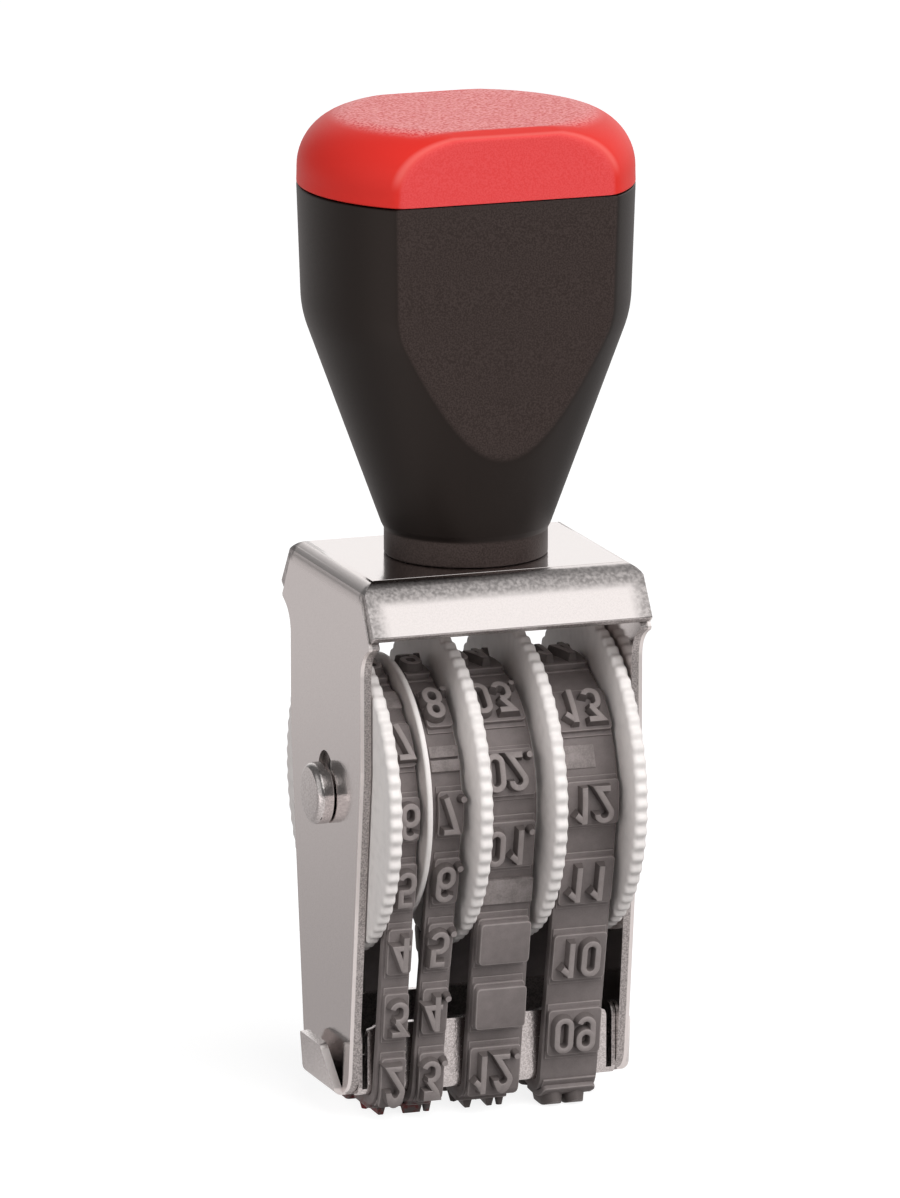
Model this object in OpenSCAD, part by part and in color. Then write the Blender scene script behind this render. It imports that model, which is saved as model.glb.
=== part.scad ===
// Date stamp with four type bands on setting wheels.
// Millimetres, +Z up, type faces rest on Z = 0, the axle runs along X and the front faces -Y.

/* [Type bands] */
// Thickness of the rubber belt
band_t = 1.0; // [0.6:0.05:1.6]
// Height of the platform under each character
slug_step = 0.7; // [0.3:0.05:1.2]
// Height of the character face above its platform
type_relief = 0.9; // [0.4:0.05:1.4]
// Height of one character along the belt
char_h = 4.0; // [3:0.1:5]
// Margin of the platform around a character
slug_margin = 0.45; // [0.2:0.05:0.6]
// Distance between characters on the day and month bands
day_pitch = 6.79; // [6.2:0.01:6.9]
// Number of characters on the day and month bands
day_count = 15; // [11:1:15]
// Distance between characters on the year band
year_pitch = 7.93; // [7:0.01:8]
// Number of characters on the year band
year_count = 13; // [9:1:13]
// How far the day tens band is run past the print line
tens_shift = 1.95; // [0:0.05:6]
// How far the day units band is run past the print line
units_shift = 2.2; // [0:0.05:6]
// How far the month band is run past the print line
month_shift = 2.25; // [0:0.05:6]
// How far the year band is run past the print line
year_shift = 4.3; // [0:0.05:6]
// Room between the two characters at the lap joint, past their usual distance
lap_room = 3.2; // [2.5:0.1:3.5]
// Length of the lap joint in each belt
lap_len = 2.6; // [1.5:0.1:3.5]
// Height of the lap joint above the belt
lap_h = 0.45; // [0.2:0.05:0.8]
// Free width at the left of each belt
band_side = 0.15; // [0.1:0.05:0.5]
// Free width at the right of the day tens belt
tens_free = 0.15; // [0.1:0.05:0.6]
// Free width at the right of the day units belt
units_free = 0.75; // [0.1:0.05:1]
// Free width at the right of the month belt
month_free = 0.25; // [0.1:0.05:1]
// Free width at the right of the year belt
year_free = 0.85; // [0.1:0.05:1.2]

/* [Setting wheels] */
// Radius of the serrated rim
wheel_r = 15.8; // [14.5:0.1:17]
// Thickness of the serrated rim disc
wheel_t = 1.3; // [1:0.05:1.8]
// Number of teeth on the rim
wheel_teeth = 69; // [48:1:96]
// Depth of the rim teeth
tooth_h = 0.5; // [0.2:0.02:0.6]
// Radius of the drum that carries a band
drum_r = 10.2; // [9:0.1:11]
// Drum width for the day tens band
tens_w = 3.2; // [2.6:0.1:4]
// Drum width for the day units band
units_w = 4.0; // [2.6:0.1:4.4]
// Drum width for the month band
month_w = 6.3; // [5:0.1:7.5]
// Drum width for the year band
year_w = 6.8; // [5:0.1:7.5]
// Wall of the hollow drums
drum_wall = 1.3; // [0.9:0.1:2]
// Radius of the wheel hubs
hub_r = 4.2; // [3.4:0.1:5.5]
// Number of ribs inside each drum
rib_count = 5; // [3:1:8]
// Thickness of the ribs
rib_t = 1.0; // [0.7:0.1:1.5]
// Radius of the plain separator disc
separator_r = 13.3; // [12.5:0.1:14]
// Thickness of the plain separator disc
separator_t = 0.6; // [0.4:0.05:1]
// Side gap between neighbouring wheels
wheel_gap = 0.1; // [0.05:0.05:0.3]
// Gap between a drum and its belt
drum_gap = 0.15; // [0.1:0.05:0.3]

/* [Axle] */
// Height of the axle over the print face
axle_z = 32; // [30:0.5:34]
// Radius of the axle
axle_r = 2.1; // [1.5:0.1:2.4]
// Radius of the axle heads
head_r = 3.05; // [2.6:0.05:3.6]
// How far each head stands out
head_t = 2.7; // [1:0.1:3.2]
// Chamfer on the rim of each head
head_chamfer = 0.6; // [0.2:0.05:0.8]
// Running clearance of the wheel bores
bore_fit = 0.06; // [0.02:0.01:0.1]
// Clearance of the axle in its slots
slot_fit = 0.07; // [0.05:0.01:0.2]
// Travel left above the axle in its slots
slot_rise = 2.0; // [0.5:0.1:3]

/* [Frame] */
// Sheet thickness of the frame
sheet = 1.1; // [0.8:0.05:1.3]
// Side gap between the wheels and the side plates
plate_gap = 0.15; // [0.1:0.05:0.5]
// Height of the top plate
frame_top = 55; // [52:0.5:60]
// Outer bend radius of the side plates
bend_r = 1.9; // [1.5:0.1:2.5]
// Outer bend radius of the sloped flanges
flange_r = 2.6; // [1.5:0.1:3.2]
// Half depth of the top plate at the bend lines
top_half = 10.5; // [9.5:0.1:12]
// Half depth at the lower edge of the flanges
flange_half = 13.8; // [12.5:0.1:15]
// Height of the sloped flanges
flange_drop = 4.8; // [4:0.1:6]
// Half depth of the side plates below the flanges
waist_half = 10.4; // [9.5:0.1:11.5]
// Half depth of the side plates at the foot
foot_half = 6.4; // [5.6:0.1:8]
// Radius of the foot corners
foot_r = 2.6; // [0.5:0.1:3]
// Seam between a flange and the side plate edge
seam = 0.2; // [0.08:0.02:0.3]

/* [Platen] */
// Sheet thickness of the platen
platen_t = 0.8; // [0.6:0.05:1.1]
// Half depth of the platen
platen_half = 6.3; // [5.6:0.1:7.2]
// Outer bend radius of the platen
platen_r = 1.2; // [1:0.05:1.6]
// Height of the platen walls
platen_h = 7.2; // [5:0.1:9]
// Gap between the platen walls and the side plates
platen_gap = 1.3; // [1:0.05:1.8]
// Half depth between the corner tabs of the platen
tab_half = 4.9; // [4.8:0.1:5.6]
// Radius of the platen wall corners
platen_corner = 1.2; // [0.4:0.1:2]
// Width of an ear at its fold
ear_w = 9.4; // [6:0.1:10]
// Width of an ear at its tip
ear_tip_w = 5.8; // [4:0.1:9]
// Height of an ear
ear_h = 4.2; // [3:0.1:6]
// Outward lean of an ear in degrees
ear_lean = 12; // [4:1:22]
// Seating gap of folded sheet and belts
seat = 0.05; // [0.03:0.01:0.1]

/* [Handle] */
// Radius of the collar on the top plate
collar_r = 8.0; // [7:0.1:9]
// Height of the collar
collar_h = 2.5; // [1.5:0.1:4]
// Radius at the lower end of the cone
cone_r = 8.3; // [8:0.1:9.5]
// How much the grip narrows from the cap joint to its shoulder
shoulder_in = 0.5; // [0:0.1:2]
// Height of that shoulder above the top plate
shoulder_h = 24.2; // [20:0.1:28]
// Radius of the grip at the cap joint
grip_r = 16.5; // [15:0.1:18]
// Height of the cap joint above the top plate
grip_h = 36.7; // [32:0.1:40]
// Half depth over the flats at the cap joint
flat_half = 12.0; // [11:0.1:13]
// Draft of the flats in degrees
flat_draft = 1.5; // [0:0.1:3]
// Wall of the hollow grip
grip_wall = 2.2; // [1.6:0.1:3]
// Height of the solid foot of the grip
foot_h = 14; // [12:0.5:18]

/* [Cap] */
// How far the cap bulges past the grip
cap_bulge = 0.1; // [0:0.05:0.4]
// Height of the cap
cap_h = 6.9; // [6.5:0.1:9]
// Radius of the cap edge
cap_edge = 5.4; // [3:0.1:5.5]
// Half depth of the level top of the cap
crown_half = 10.5; // [9:0.1:11.5]
// Slope from the level top down to the flats in degrees
crown_slope = 17; // [8:1:25]
// Wall of the cap
cap_wall = 2.0; // [1.4:0.1:2.6]
// Depth of the plug below the cap
plug_h = 4.0; // [2:0.1:8]
// Wall of the plug
plug_wall = 1.4; // [1:0.1:2]
// Clearance of the plug in the grip
plug_fit = 0.12; // [0.05:0.01:0.25]
// Joint line between cap and grip
cap_line = 0.06; // [0.03:0.01:0.15]

/* [Screw] */
// Radius of the screw shank
screw_r = 1.95; // [1.5:0.05:2.2]
// Clearance around the shank
screw_fit = 0.08; // [0.04:0.02:0.2]
// Length of the shank above the washer
screw_len = 11.5; // [8:0.5:11.5]
// Radius of the screw head
screw_head_r = 3.6; // [3:0.1:4.2]
// Height of the screw head
screw_head_h = 2.2; // [1.5:0.1:3]
// Outer radius of the toothed washer
washer_r = 4.2; // [4:0.1:5]
// Thickness of the toothed washer
washer_t = 0.6; // [0.4:0.05:0.9]
// Number of washer teeth
washer_teeth = 12; // [8:1:16]

/* [Hidden] */
$fn = 64;
eps = 0.01;

// Levels
type_h = slug_step + type_relief;
platen_z = type_h + band_t + seat;
frame_z = platen_z + 0.15;
flange_z = frame_top - flange_drop;
cap_r = grip_r + cap_bulge;
shoulder_r = grip_r - shoulder_in;

// Stations along the axle, from the left side plate to the right one
stack_w = 4 * wheel_t + separator_t + tens_w + units_w + month_w + year_w + 4 * wheel_gap;
inner_half = stack_w / 2 + plate_gap;
outer_half = inner_half + sheet;
tens_x = -stack_w / 2;
sep_x = tens_x + wheel_t + tens_w + wheel_gap;
units_x = sep_x + separator_t + wheel_gap;
month_x = units_x + units_w + wheel_t + wheel_gap;
year_x = month_x + month_w + wheel_t + wheel_gap;

// Belt loop: lower platen corners, straight runs and the drum
corner_c = [-(platen_half - platen_r), platen_z + platen_r];
drum_c = [0, axle_z];
corner_in = platen_r + seat;
drum_in = drum_r + drum_gap;
span = norm(drum_c - corner_c);
run_a = asin((drum_in - corner_in) / span) - atan2(platen_half - platen_r, axle_z - corner_c[1]);
run_n = [-cos(run_a), -sin(run_a)];
flat_len = platen_half - platen_r;
corner_len = (90 - run_a) * PI / 180 * (corner_in + band_t / 2);
run_len = sqrt(span * span - (drum_in - corner_in) * (drum_in - corner_in));
drum_len = (90 + run_a) * PI / 180 * (drum_in + band_t / 2);
loop_len = 2 * (flat_len + corner_len + run_len + drum_len);

// Outlines with rounded corners
function unit(v) = v / norm(v);
function corner_arc(c, r, a0, turn, n) =
  [for (i = [0:n]) c + r * [cos(a0 + turn * i / n), sin(a0 + turn * i / n)]];
function wrap(a) = a > 180 ? a - 360 : (a < -180 ? a + 360 : a);
function rounded_corner(a, b, c, r, n) =
  let (
    u = unit(a - b),
    v = unit(c - b),
    half = acos(u * v) / 2,
    m = b + unit(u + v) * r / sin(half),
    p = b + u * r / tan(half) - m,
    q = b + v * r / tan(half) - m,
    a0 = atan2(p[1], p[0])
  )
  corner_arc(m, r, a0, wrap(atan2(q[1], q[0]) - a0), n);
function flat2(p) = [p[0], p[1]];
function rounded(p, n = 8) = [
  for (i = [0:len(p) - 1])
    let (b = p[i], a = p[(i + len(p) - 1) % len(p)], c = p[(i + 1) % len(p)])
    each (b[2] == 0 ? [flat2(b)] : rounded_corner(flat2(a), flat2(b), flat2(c), b[2], n))
];

// Outline in Y and Z, extruded along X from x0 to x1
module along_x(x0, x1) {
  translate([x0, 0, 0]) {
    rotate([90, 0, 90]) {
      linear_extrude(x1 - x0) {
        children();
      }
    }
  }
}

// Outline in X and Z, extruded along Y through the whole depth
module along_y(half) {
  translate([0, half, 0]) {
    rotate([90, 0, 0]) {
      linear_extrude(2 * half) {
        children();
      }
    }
  }
}

// Round bar along X
module bar_x(r, x0, x1) {
  translate([x0, 0, 0]) {
    rotate([0, 90, 0]) {
      cylinder(r = r, h = x1 - x0);
    }
  }
}

// Slab between the two drafted flats, moved in by a wall
module flats(inset) {
  z0 = -2;
  z1 = grip_h + cap_h + 2;
  y0 = flat_half - (grip_h - z0) * tan(flat_draft) - inset;
  y1 = flat_half + (z1 - grip_h) * tan(flat_draft) - inset;
  along_x(-30, 30) {
    polygon([[-y0, z0], [y0, z0], [y1, z1], [-y1, z1]]);
  }
}

// Space under the level top of the cap and its two slopes
module crown() {
  top = grip_h + cap_h;
  reach = grip_r - crown_half;
  low = top - reach * tan(crown_slope);
  along_x(-30, 30) {
    polygon([
      [-grip_r, 0], [grip_r, 0], [grip_r, low], [crown_half, top], [-crown_half, top], [-grip_r, low]
    ]);
  }
}

// Moulded grip with a screw boss at its foot
module handle() {
  slope = (shoulder_r - cone_r) / (shoulder_h - collar_h - 0.6);
  floor_r = cone_r + (foot_h - collar_h - 0.6) * slope - grip_wall;
  color([0.16, 0.15, 0.15]) {
    translate([0, 0, frame_top]) {
      difference() {
        intersection() {
          rotate_extrude($fn = 128) {
            polygon(rounded([
              [0, 0, 0], [collar_r, 0, 0], [collar_r, collar_h, 0.25],
              [cone_r, collar_h + 0.6, 0.4], [shoulder_r, shoulder_h, 11],
              [grip_r, grip_h, 0], [0, grip_h, 0]
            ]));
          }
          flats(0);
        }
        intersection() {
          rotate_extrude($fn = 128) {
            polygon([
              [0, foot_h], [floor_r, foot_h], [shoulder_r - grip_wall, shoulder_h + 0.8],
              [grip_r - grip_wall, grip_h + 1], [0, grip_h + 1]
            ]);
          }
          flats(grip_wall);
        }
        translate([0, 0, -1]) {
          cylinder(r = screw_r + screw_fit, h = foot_h - 1);
        }
      }
    }
  }
}

// Cap shell with a plug that closes the grip
module handle_cap() {
  top = grip_h + cap_h;
  bottom = grip_h + cap_line;
  plug_r = grip_r - grip_wall - plug_fit - 0.2;
  color([0.85, 0.2, 0.17]) {
    translate([0, 0, frame_top]) {
      difference() {
        union() {
          intersection() {
            rotate_extrude($fn = 128) {
              polygon(rounded([
                [0, bottom, 0], [grip_r + 0.02, bottom, 0], [cap_r, bottom + 1.2, 1],
                [cap_r, top, cap_edge], [0, top, 0]
              ], 12));
            }
            flats(0);
            crown();
          }
          intersection() {
            translate([0, 0, grip_h - plug_h]) {
              cylinder(r = plug_r, h = plug_h + 1, $fn = 128);
            }
            flats(grip_wall + plug_fit + plug_h * tan(flat_draft));
          }
        }
        intersection() {
          translate([0, 0, grip_h - plug_h - 1]) {
            cylinder(r = plug_r - plug_wall, h = plug_h + cap_h - cap_wall + 1, $fn = 128);
          }
          flats(grip_wall + plug_fit + plug_wall + plug_h * tan(flat_draft));
        }
      }
    }
  }
}

// Pan head screw, driven upwards from inside the frame
module handle_screw() {
  z = frame_top - sheet - washer_t;
  color([0.72, 0.71, 0.68]) {
    difference() {
      union() {
        translate([0, 0, z - screw_head_h]) {
          rotate_extrude() {
            polygon(rounded([
              [0, 0, 0], [screw_head_r, 0, 1.1], [screw_head_r, screw_head_h, 0],
              [0, screw_head_h, 0]
            ]));
          }
        }
        translate([0, 0, z - eps]) {
          cylinder(r = screw_r, h = screw_len - 0.8);
        }
        translate([0, 0, z + screw_len - 0.85]) {
          cylinder(r1 = screw_r, r2 = 0.6, h = 0.85);
        }
      }
      for (a = [0, 90]) {
        rotate([0, 0, a]) {
          translate([-1.9, -0.45, z - screw_head_h - 1]) {
            cube([3.8, 0.9, 2.2]);
          }
        }
      }
    }
  }
}

// Toothed washer between the screw head and the top plate
module lock_washer() {
  step = 360 / washer_teeth;
  color([0.6, 0.6, 0.58]) {
    translate([0, 0, frame_top - sheet - washer_t]) {
      difference() {
        linear_extrude(washer_t) {
          polygon([
            for (i = [0:washer_teeth - 1], j = [0:3])
              let (r = j < 2 ? washer_r : washer_r - 0.6, a = (i + j / 4) * step)
              r * [cos(a), sin(a)]
          ]);
        }
        translate([0, 0, -1]) {
          cylinder(r = screw_r + screw_fit, h = washer_t + 2);
        }
      }
    }
  }
}

// Half outline of the side plates, mirrored into a whole one
module plate_outline() {
  fold = unit([flange_half - top_half, -flange_drop]);
  inward = [fold[1], -fold[0]] * (sheet + seam);
  lip = [flange_half, flange_z] + inward;
  half = [
    [top_half + inward[0] - 0.6, frame_top + 1, 0],
    [lip[0] - 0.25 * fold[0], lip[1] - 0.25 * fold[1], 0],
    [lip[0] + 0.35, lip[1] - 0.5, 0.3],
    [waist_half, flange_z - 2.6, 3.2],
    [waist_half, axle_z + 4, 8],
    [foot_half, frame_z, foot_r]
  ];
  other = [for (i = [len(half) - 1:-1:0]) [-half[i][0], half[i][1], half[i][2]]];
  polygon(rounded(concat(half, other)));
}

// Filled section of the bent sheet with rounded shoulders
module bend_section(inset) {
  h = outer_half - inset;
  r = bend_r - inset;
  t = frame_top - inset;
  union() {
    translate([-h, frame_z - 5]) {
      square([2 * h, t - r - frame_z + 5]);
    }
    translate([-h + r, t - r - 1]) {
      square([2 * (h - r), r + 1]);
    }
    for (s = [-1, 1]) {
      translate([s * (h - r), t - r]) {
        circle(r);
      }
    }
  }
}

// Sloped flange in section, with its bend into the top plate
module flange_section() {
  fold = unit([flange_half - top_half, -flange_drop]);
  inward = [fold[1], -fold[0]] * sheet;
  low = [flange_half, flange_z];
  bend = (90 - atan2(flange_half - top_half, flange_drop)) / 2;
  polygon(rounded([
    [top_half - 3, frame_top, 0],
    [top_half, frame_top, flange_r],
    [low[0], low[1], 0.2],
    [low[0] + inward[0], low[1] + inward[1], 0.2],
    [top_half - sheet * tan(bend), frame_top - sheet, flange_r - sheet],
    [top_half - 3, frame_top - sheet, 0]
  ], 6));
}

// Bent sheet frame with axle slots, screw hole and foot notches
module frame() {
  color([0.75, 0.74, 0.72]) {
    difference() {
      union() {
        intersection() {
          along_y(flange_half + 5) {
            difference() {
              bend_section(0);
              bend_section(sheet);
            }
          }
          along_x(-outer_half - 1, outer_half + 1) {
            plate_outline();
          }
        }
        intersection() {
          along_y(flange_half + 5) {
            bend_section(0);
          }
          union() {
            for (m = [0, 1]) {
              mirror([0, m, 0]) {
                along_x(-outer_half + seam, outer_half - seam) {
                  flange_section();
                }
              }
            }
          }
        }
      }
      translate([0, 0, axle_z]) {
        bar_x(axle_r + slot_fit, -outer_half - 1, outer_half + 1);
      }
      translate([0, 0, axle_z + slot_rise]) {
        bar_x(axle_r + slot_fit, -outer_half - 1, outer_half + 1);
      }
      translate([-outer_half - 1, -axle_r - slot_fit, axle_z]) {
        cube([2 * outer_half + 2, 2 * (axle_r + slot_fit), slot_rise]);
      }
      translate([0, 0, frame_top - 3]) {
        cylinder(r = screw_r + screw_fit + 0.1, h = 6);
      }
      translate([-outer_half - 1, -ear_w / 2 - seat, frame_z - 1]) {
        cube([2 * outer_half + 2, ear_w + 2 * seat, platen_z + platen_t + seat - frame_z + 1]);
      }
    }
  }
}

// Turned axle with a head outside each side plate
module axle() {
  x = outer_half + seat;
  color([0.7, 0.69, 0.67]) {
    translate([0, 0, axle_z]) {
      rotate([0, 90, 0]) {
        rotate_extrude() {
          polygon([
            [0, -x - head_t], [head_r - head_chamfer, -x - head_t],
            [head_r, -x - head_t + head_chamfer], [head_r, -x], [axle_r, -x],
            [axle_r, x], [head_r, x], [head_r, x + head_t - head_chamfer],
            [head_r - head_chamfer, x + head_t], [0, x + head_t]
          ]);
        }
      }
    }
  }
}

// Strip under the side plates with an ear folded up at each end, in X and Z
module ear_strip_section() {
  fold_x = outer_half + seat;
  fold_z = platen_z + platen_t;
  up = [sin(ear_lean), cos(ear_lean)];
  out = [cos(ear_lean), -sin(ear_lean)];
  tip = [fold_x, fold_z] + ear_h * up;
  corner_x = fold_x + platen_t * (1 - sin(ear_lean)) / cos(ear_lean);
  half = [
    [corner_x, platen_z, platen_t],
    [tip[0] + platen_t * out[0], tip[1] + platen_t * out[1], 0],
    [tip[0], tip[1], 0],
    [fold_x, fold_z, 0]
  ];
  other = [for (i = [len(half) - 1:-1:0]) [-half[i][0], half[i][1], half[i][2]]];
  polygon(rounded(concat(half, other)));
}

// Side outline of the ears, narrower towards the tip
module ear_outline() {
  tip_z = platen_z + platen_t + ear_h * cos(ear_lean);
  polygon(rounded([
    [-ear_w / 2, platen_z - 1, 0], [ear_w / 2, platen_z - 1, 0],
    [ear_w / 2, platen_z + platen_t, 0], [ear_tip_w / 2, tip_z, 0.9],
    [-ear_tip_w / 2, tip_z, 0.9], [-ear_w / 2, platen_z + platen_t, 0]
  ], 6));
}

// Tabs folded up beside the side plates at the four corners of the platen
module tab_sections() {
  low = inner_half - platen_gap - 1;
  outer = inner_half - seat;
  inner = outer - platen_t;
  for (sx = [0, 1], sy = [0, 1]) {
    mirror([sx, 0, 0]) {
      mirror([0, sy, 0]) {
        translate([0, platen_half + 1, 0]) {
          rotate([90, 0, 0]) {
            linear_extrude(platen_half + 1 - tab_half) {
              polygon([
                [low, platen_z], [outer, platen_z], [outer, platen_z + platen_h],
                [inner, platen_z + platen_h], [inner, platen_z + platen_t], [low, platen_z + platen_t]
              ]);
            }
          }
        }
      }
    }
  }
}

// Folded channel that carries the bands over the print line
module platen() {
  half = inner_half - platen_gap;
  inner = platen_half - platen_t;
  color([0.8, 0.79, 0.77]) {
    intersection() {
      along_x(-half, half) {
        difference() {
          polygon(rounded([
            [-platen_half, platen_z, platen_r], [platen_half, platen_z, platen_r],
            [platen_half, platen_z + platen_h, 0], [-platen_half, platen_z + platen_h, 0]
          ]));
          polygon(rounded([
            [-inner, platen_z + platen_t, platen_r - platen_t],
            [inner, platen_z + platen_t, platen_r - platen_t],
            [inner, platen_z + platen_h + 1, 0], [-inner, platen_z + platen_h + 1, 0]
          ]));
        }
      }
      along_y(platen_half + 1) {
        polygon(rounded([
          [-half, platen_z - 1, 0], [half, platen_z - 1, 0],
          [half, platen_z + platen_h, platen_corner], [-half, platen_z + platen_h, platen_corner]
        ]));
      }
    }
    intersection() {
      along_x(-inner_half, inner_half) {
        polygon(rounded([
          [-platen_half, platen_z, platen_r], [platen_half, platen_z, platen_r],
          [platen_half, platen_z + platen_h, platen_corner],
          [-platen_half, platen_z + platen_h, platen_corner]
        ]));
      }
      tab_sections();
    }
    intersection() {
      along_y(ear_w) {
        ear_strip_section();
      }
      along_x(-outer_half - 4, outer_half + 4) {
        ear_outline();
      }
    }
  }
}

// Serrated disc outline with rounded teeth
module rim_outline() {
  polygon([
    for (i = [0:4 * wheel_teeth - 1])
      let (
        a = 90 * i / wheel_teeth,
        r = wheel_r - tooth_h * (1 - abs(sin(45 * i)))
      )
      r * [cos(a), sin(a)]
  ]);
}

// Setting wheel: serrated disc, hollow drum, hub and ribs; side is where the drum stands
module setting_wheel(x, w, side) {
  disc_x = side > 0 ? x : x + w;
  drum_x = side > 0 ? x + wheel_t / 2 : x;
  drum_l = w + wheel_t / 2;
  color([0.93, 0.92, 0.9]) {
    translate([0, 0, axle_z]) {
      difference() {
        union() {
          translate([disc_x, 0, 0]) {
            rotate([0, 90, 0]) {
              linear_extrude(wheel_t) {
                rim_outline();
              }
            }
          }
          difference() {
            bar_x(drum_r, drum_x, drum_x + drum_l);
            bar_x(drum_r - drum_wall, drum_x - 1, drum_x + drum_l + 1);
          }
          bar_x(hub_r, drum_x, drum_x + drum_l);
          for (i = [0:rib_count - 1]) {
            rotate([i * 360 / rib_count + 7, 0, 0]) {
              translate([drum_x + 0.3, hub_r - 0.4, -rib_t / 2]) {
                cube([drum_l - 0.6, drum_r - drum_wall - hub_r + 0.8, rib_t]);
              }
            }
          }
        }
        bar_x(axle_r + bore_fit, x - 1, x + w + wheel_t + 1);
      }
    }
  }
}

module day_tens_wheel() {
  setting_wheel(tens_x, tens_w, 1);
}

module day_units_wheel() {
  setting_wheel(units_x, units_w, -1);
}

module month_wheel() {
  setting_wheel(month_x, month_w, -1);
}

module year_wheel() {
  setting_wheel(year_x, year_w, -1);
}

// Plain disc that keeps the two day bands apart
module separator_disc() {
  color([0.93, 0.92, 0.9]) {
    translate([0, 0, axle_z]) {
      difference() {
        bar_x(separator_r, sep_x, sep_x + separator_t);
        bar_x(axle_r + bore_fit, sep_x - 1, sep_x + separator_t + 1);
      }
    }
  }
}

// Filled belt outline at a height above its inner face
module loop_outline(h) {
  c = corner_c;
  p = c + run_n * (corner_in + h);
  q = drum_c + run_n * (drum_in + h);
  low = c - [0, corner_in + h];
  union() {
    polygon([
      low, p, q, [-q[0], q[1]], [-p[0], p[1]], [-low[0], low[1]]
    ]);
    for (s = [1, -1]) {
      translate([s * c[0], c[1]]) {
        circle(corner_in + h);
      }
    }
    translate(drum_c) {
      circle(drum_in + h, $fn = 128);
    }
  }
}

// Foot point and outward angle on the front half of the loop, s along it from the print line
function loop_front(s) =
  s < flat_len ? [-s, platen_z - seat, -90]
  : s < flat_len + corner_len
    ? let (a = -90 - (s - flat_len) / (corner_in + band_t / 2) * 180 / PI)
      [corner_c[0] + corner_in * cos(a), corner_c[1] + corner_in * sin(a), a]
  : s < flat_len + corner_len + run_len
    ? let (
        d = s - flat_len - corner_len,
        p = corner_c + run_n * corner_in + d * [run_n[1], -run_n[0]]
      )
      [p[0], p[1], run_a - 180]
  : let (a = run_a - 180 - (s - loop_len / 2 + drum_len) / (drum_in + band_t / 2) * 180 / PI)
    [drum_in * cos(a), axle_z + drum_in * sin(a), a];
function loop_at(s) =
  let (t = s > loop_len / 2 ? s - loop_len : s, f = loop_front(abs(t)))
  t < 0 ? [-f[0], f[1], 180 - f[2]] : f;

// Place of a character; the front ones count from the print line, the rear ones back from it
function slug_at(k, pitch, count, shift, last) =
  let (s = shift + k * pitch + (k > last ? lap_room : 0))
  s < loop_len / 2 ? s : loop_len + shift - (count - k) * pitch;

// Raised block on the belt, stepped to a platform and a character face
module slug(s, w) {
  p = loop_at(s);
  base = char_h + 2 * slug_margin;
  translate([0, p[0], p[1]]) {
    rotate([p[2] - 90, 0, 0]) {
      translate([-w / 2, -base / 2, band_t - 0.4]) {
        cube([w, base, slug_step + 0.4]);
      }
      translate([-w / 2 + 0.3, -base / 2 + 0.3, band_t]) {
        cube([w - 0.6, base - 0.6, type_h]);
      }
    }
  }
}

// Lap joint of the belt
module lap(s, w) {
  p = loop_at(s);
  translate([-w / 2, p[0], p[1]]) {
    rotate([p[2] - 90, 0, 0]) {
      translate([0, -lap_len / 2, band_t - 0.3]) {
        cube([w, lap_len, lap_h + 0.3]);
      }
    }
  }
}

// Type band with its characters; after the numbered one comes the lap joint
module type_band(x, w, pitch, count, shift, last) {
  color([0.42, 0.4, 0.4]) {
    translate([x + band_side + w / 2, 0, 0]) {
      along_x(-w / 2, w / 2) {
        difference() {
          loop_outline(band_t);
          loop_outline(0);
        }
      }
      for (k = [0:count - 1]) {
        slug(slug_at(k, pitch, count, shift, last), w - 0.1);
      }
      lap(shift + (last + 0.5) * pitch + lap_room / 2, w - 0.1);
    }
  }
}

module day_tens_band() {
  type_band(tens_x + wheel_t, tens_w - band_side - tens_free, day_pitch, day_count, tens_shift, 6);
}

module day_units_band() {
  type_band(units_x, units_w - band_side - units_free, day_pitch, day_count, units_shift, 5);
}

module month_band() {
  type_band(month_x, month_w - band_side - month_free, day_pitch, day_count, month_shift, 3);
}

module year_band() {
  type_band(year_x, year_w - band_side - year_free, year_pitch, year_count, year_shift, 5);
}

handle();
handle_cap();
handle_screw();
lock_washer();
frame();
axle();
platen();
day_tens_wheel();
separator_disc();
day_units_wheel();
month_wheel();
year_wheel();
day_tens_band();
day_units_band();
month_band();
year_band();
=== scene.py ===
"""Looks of a hand date stamp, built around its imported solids.

Sizes in the classes are millimetres and become metres when a mesh is placed. +Z is up, the type
faces rest on Z = 0, the axle runs along X and the front of the stamp faces -Y.
"""

from __future__ import annotations

import logging
import math
from dataclasses import dataclass, field
from enum import Enum
from functools import cache
from typing import Any, Callable, Mapping, Sequence

import bmesh
import bpy
from bmesh.types import BMEdge, BMesh, BMFace, BMVert
from bpy.types import Material, NodeSocket
from mathutils import Matrix, Vector

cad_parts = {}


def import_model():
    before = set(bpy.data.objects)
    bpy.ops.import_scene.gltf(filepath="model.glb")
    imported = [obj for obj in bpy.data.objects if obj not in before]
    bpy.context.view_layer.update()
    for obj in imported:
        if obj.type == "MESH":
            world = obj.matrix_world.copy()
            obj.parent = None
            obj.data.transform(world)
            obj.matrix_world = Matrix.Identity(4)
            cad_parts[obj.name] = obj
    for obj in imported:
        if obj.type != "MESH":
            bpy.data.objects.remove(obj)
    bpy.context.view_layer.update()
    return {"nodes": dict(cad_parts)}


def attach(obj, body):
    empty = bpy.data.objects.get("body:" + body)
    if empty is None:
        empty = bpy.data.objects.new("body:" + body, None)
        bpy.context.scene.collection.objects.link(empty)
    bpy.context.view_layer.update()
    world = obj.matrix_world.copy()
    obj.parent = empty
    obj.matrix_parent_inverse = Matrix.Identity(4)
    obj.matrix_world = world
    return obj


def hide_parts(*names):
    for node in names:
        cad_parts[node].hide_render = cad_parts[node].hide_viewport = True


LOG = logging.getLogger("date_stamp")
MM = 0.001
IMAGE_SIZE = (900, 1198)
ROOT_BODY = "stamp"
AXLE_Z = 32.0
SECTORS = 12
CORNER_STEPS = 3
RIM_STEPS = 2
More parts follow.
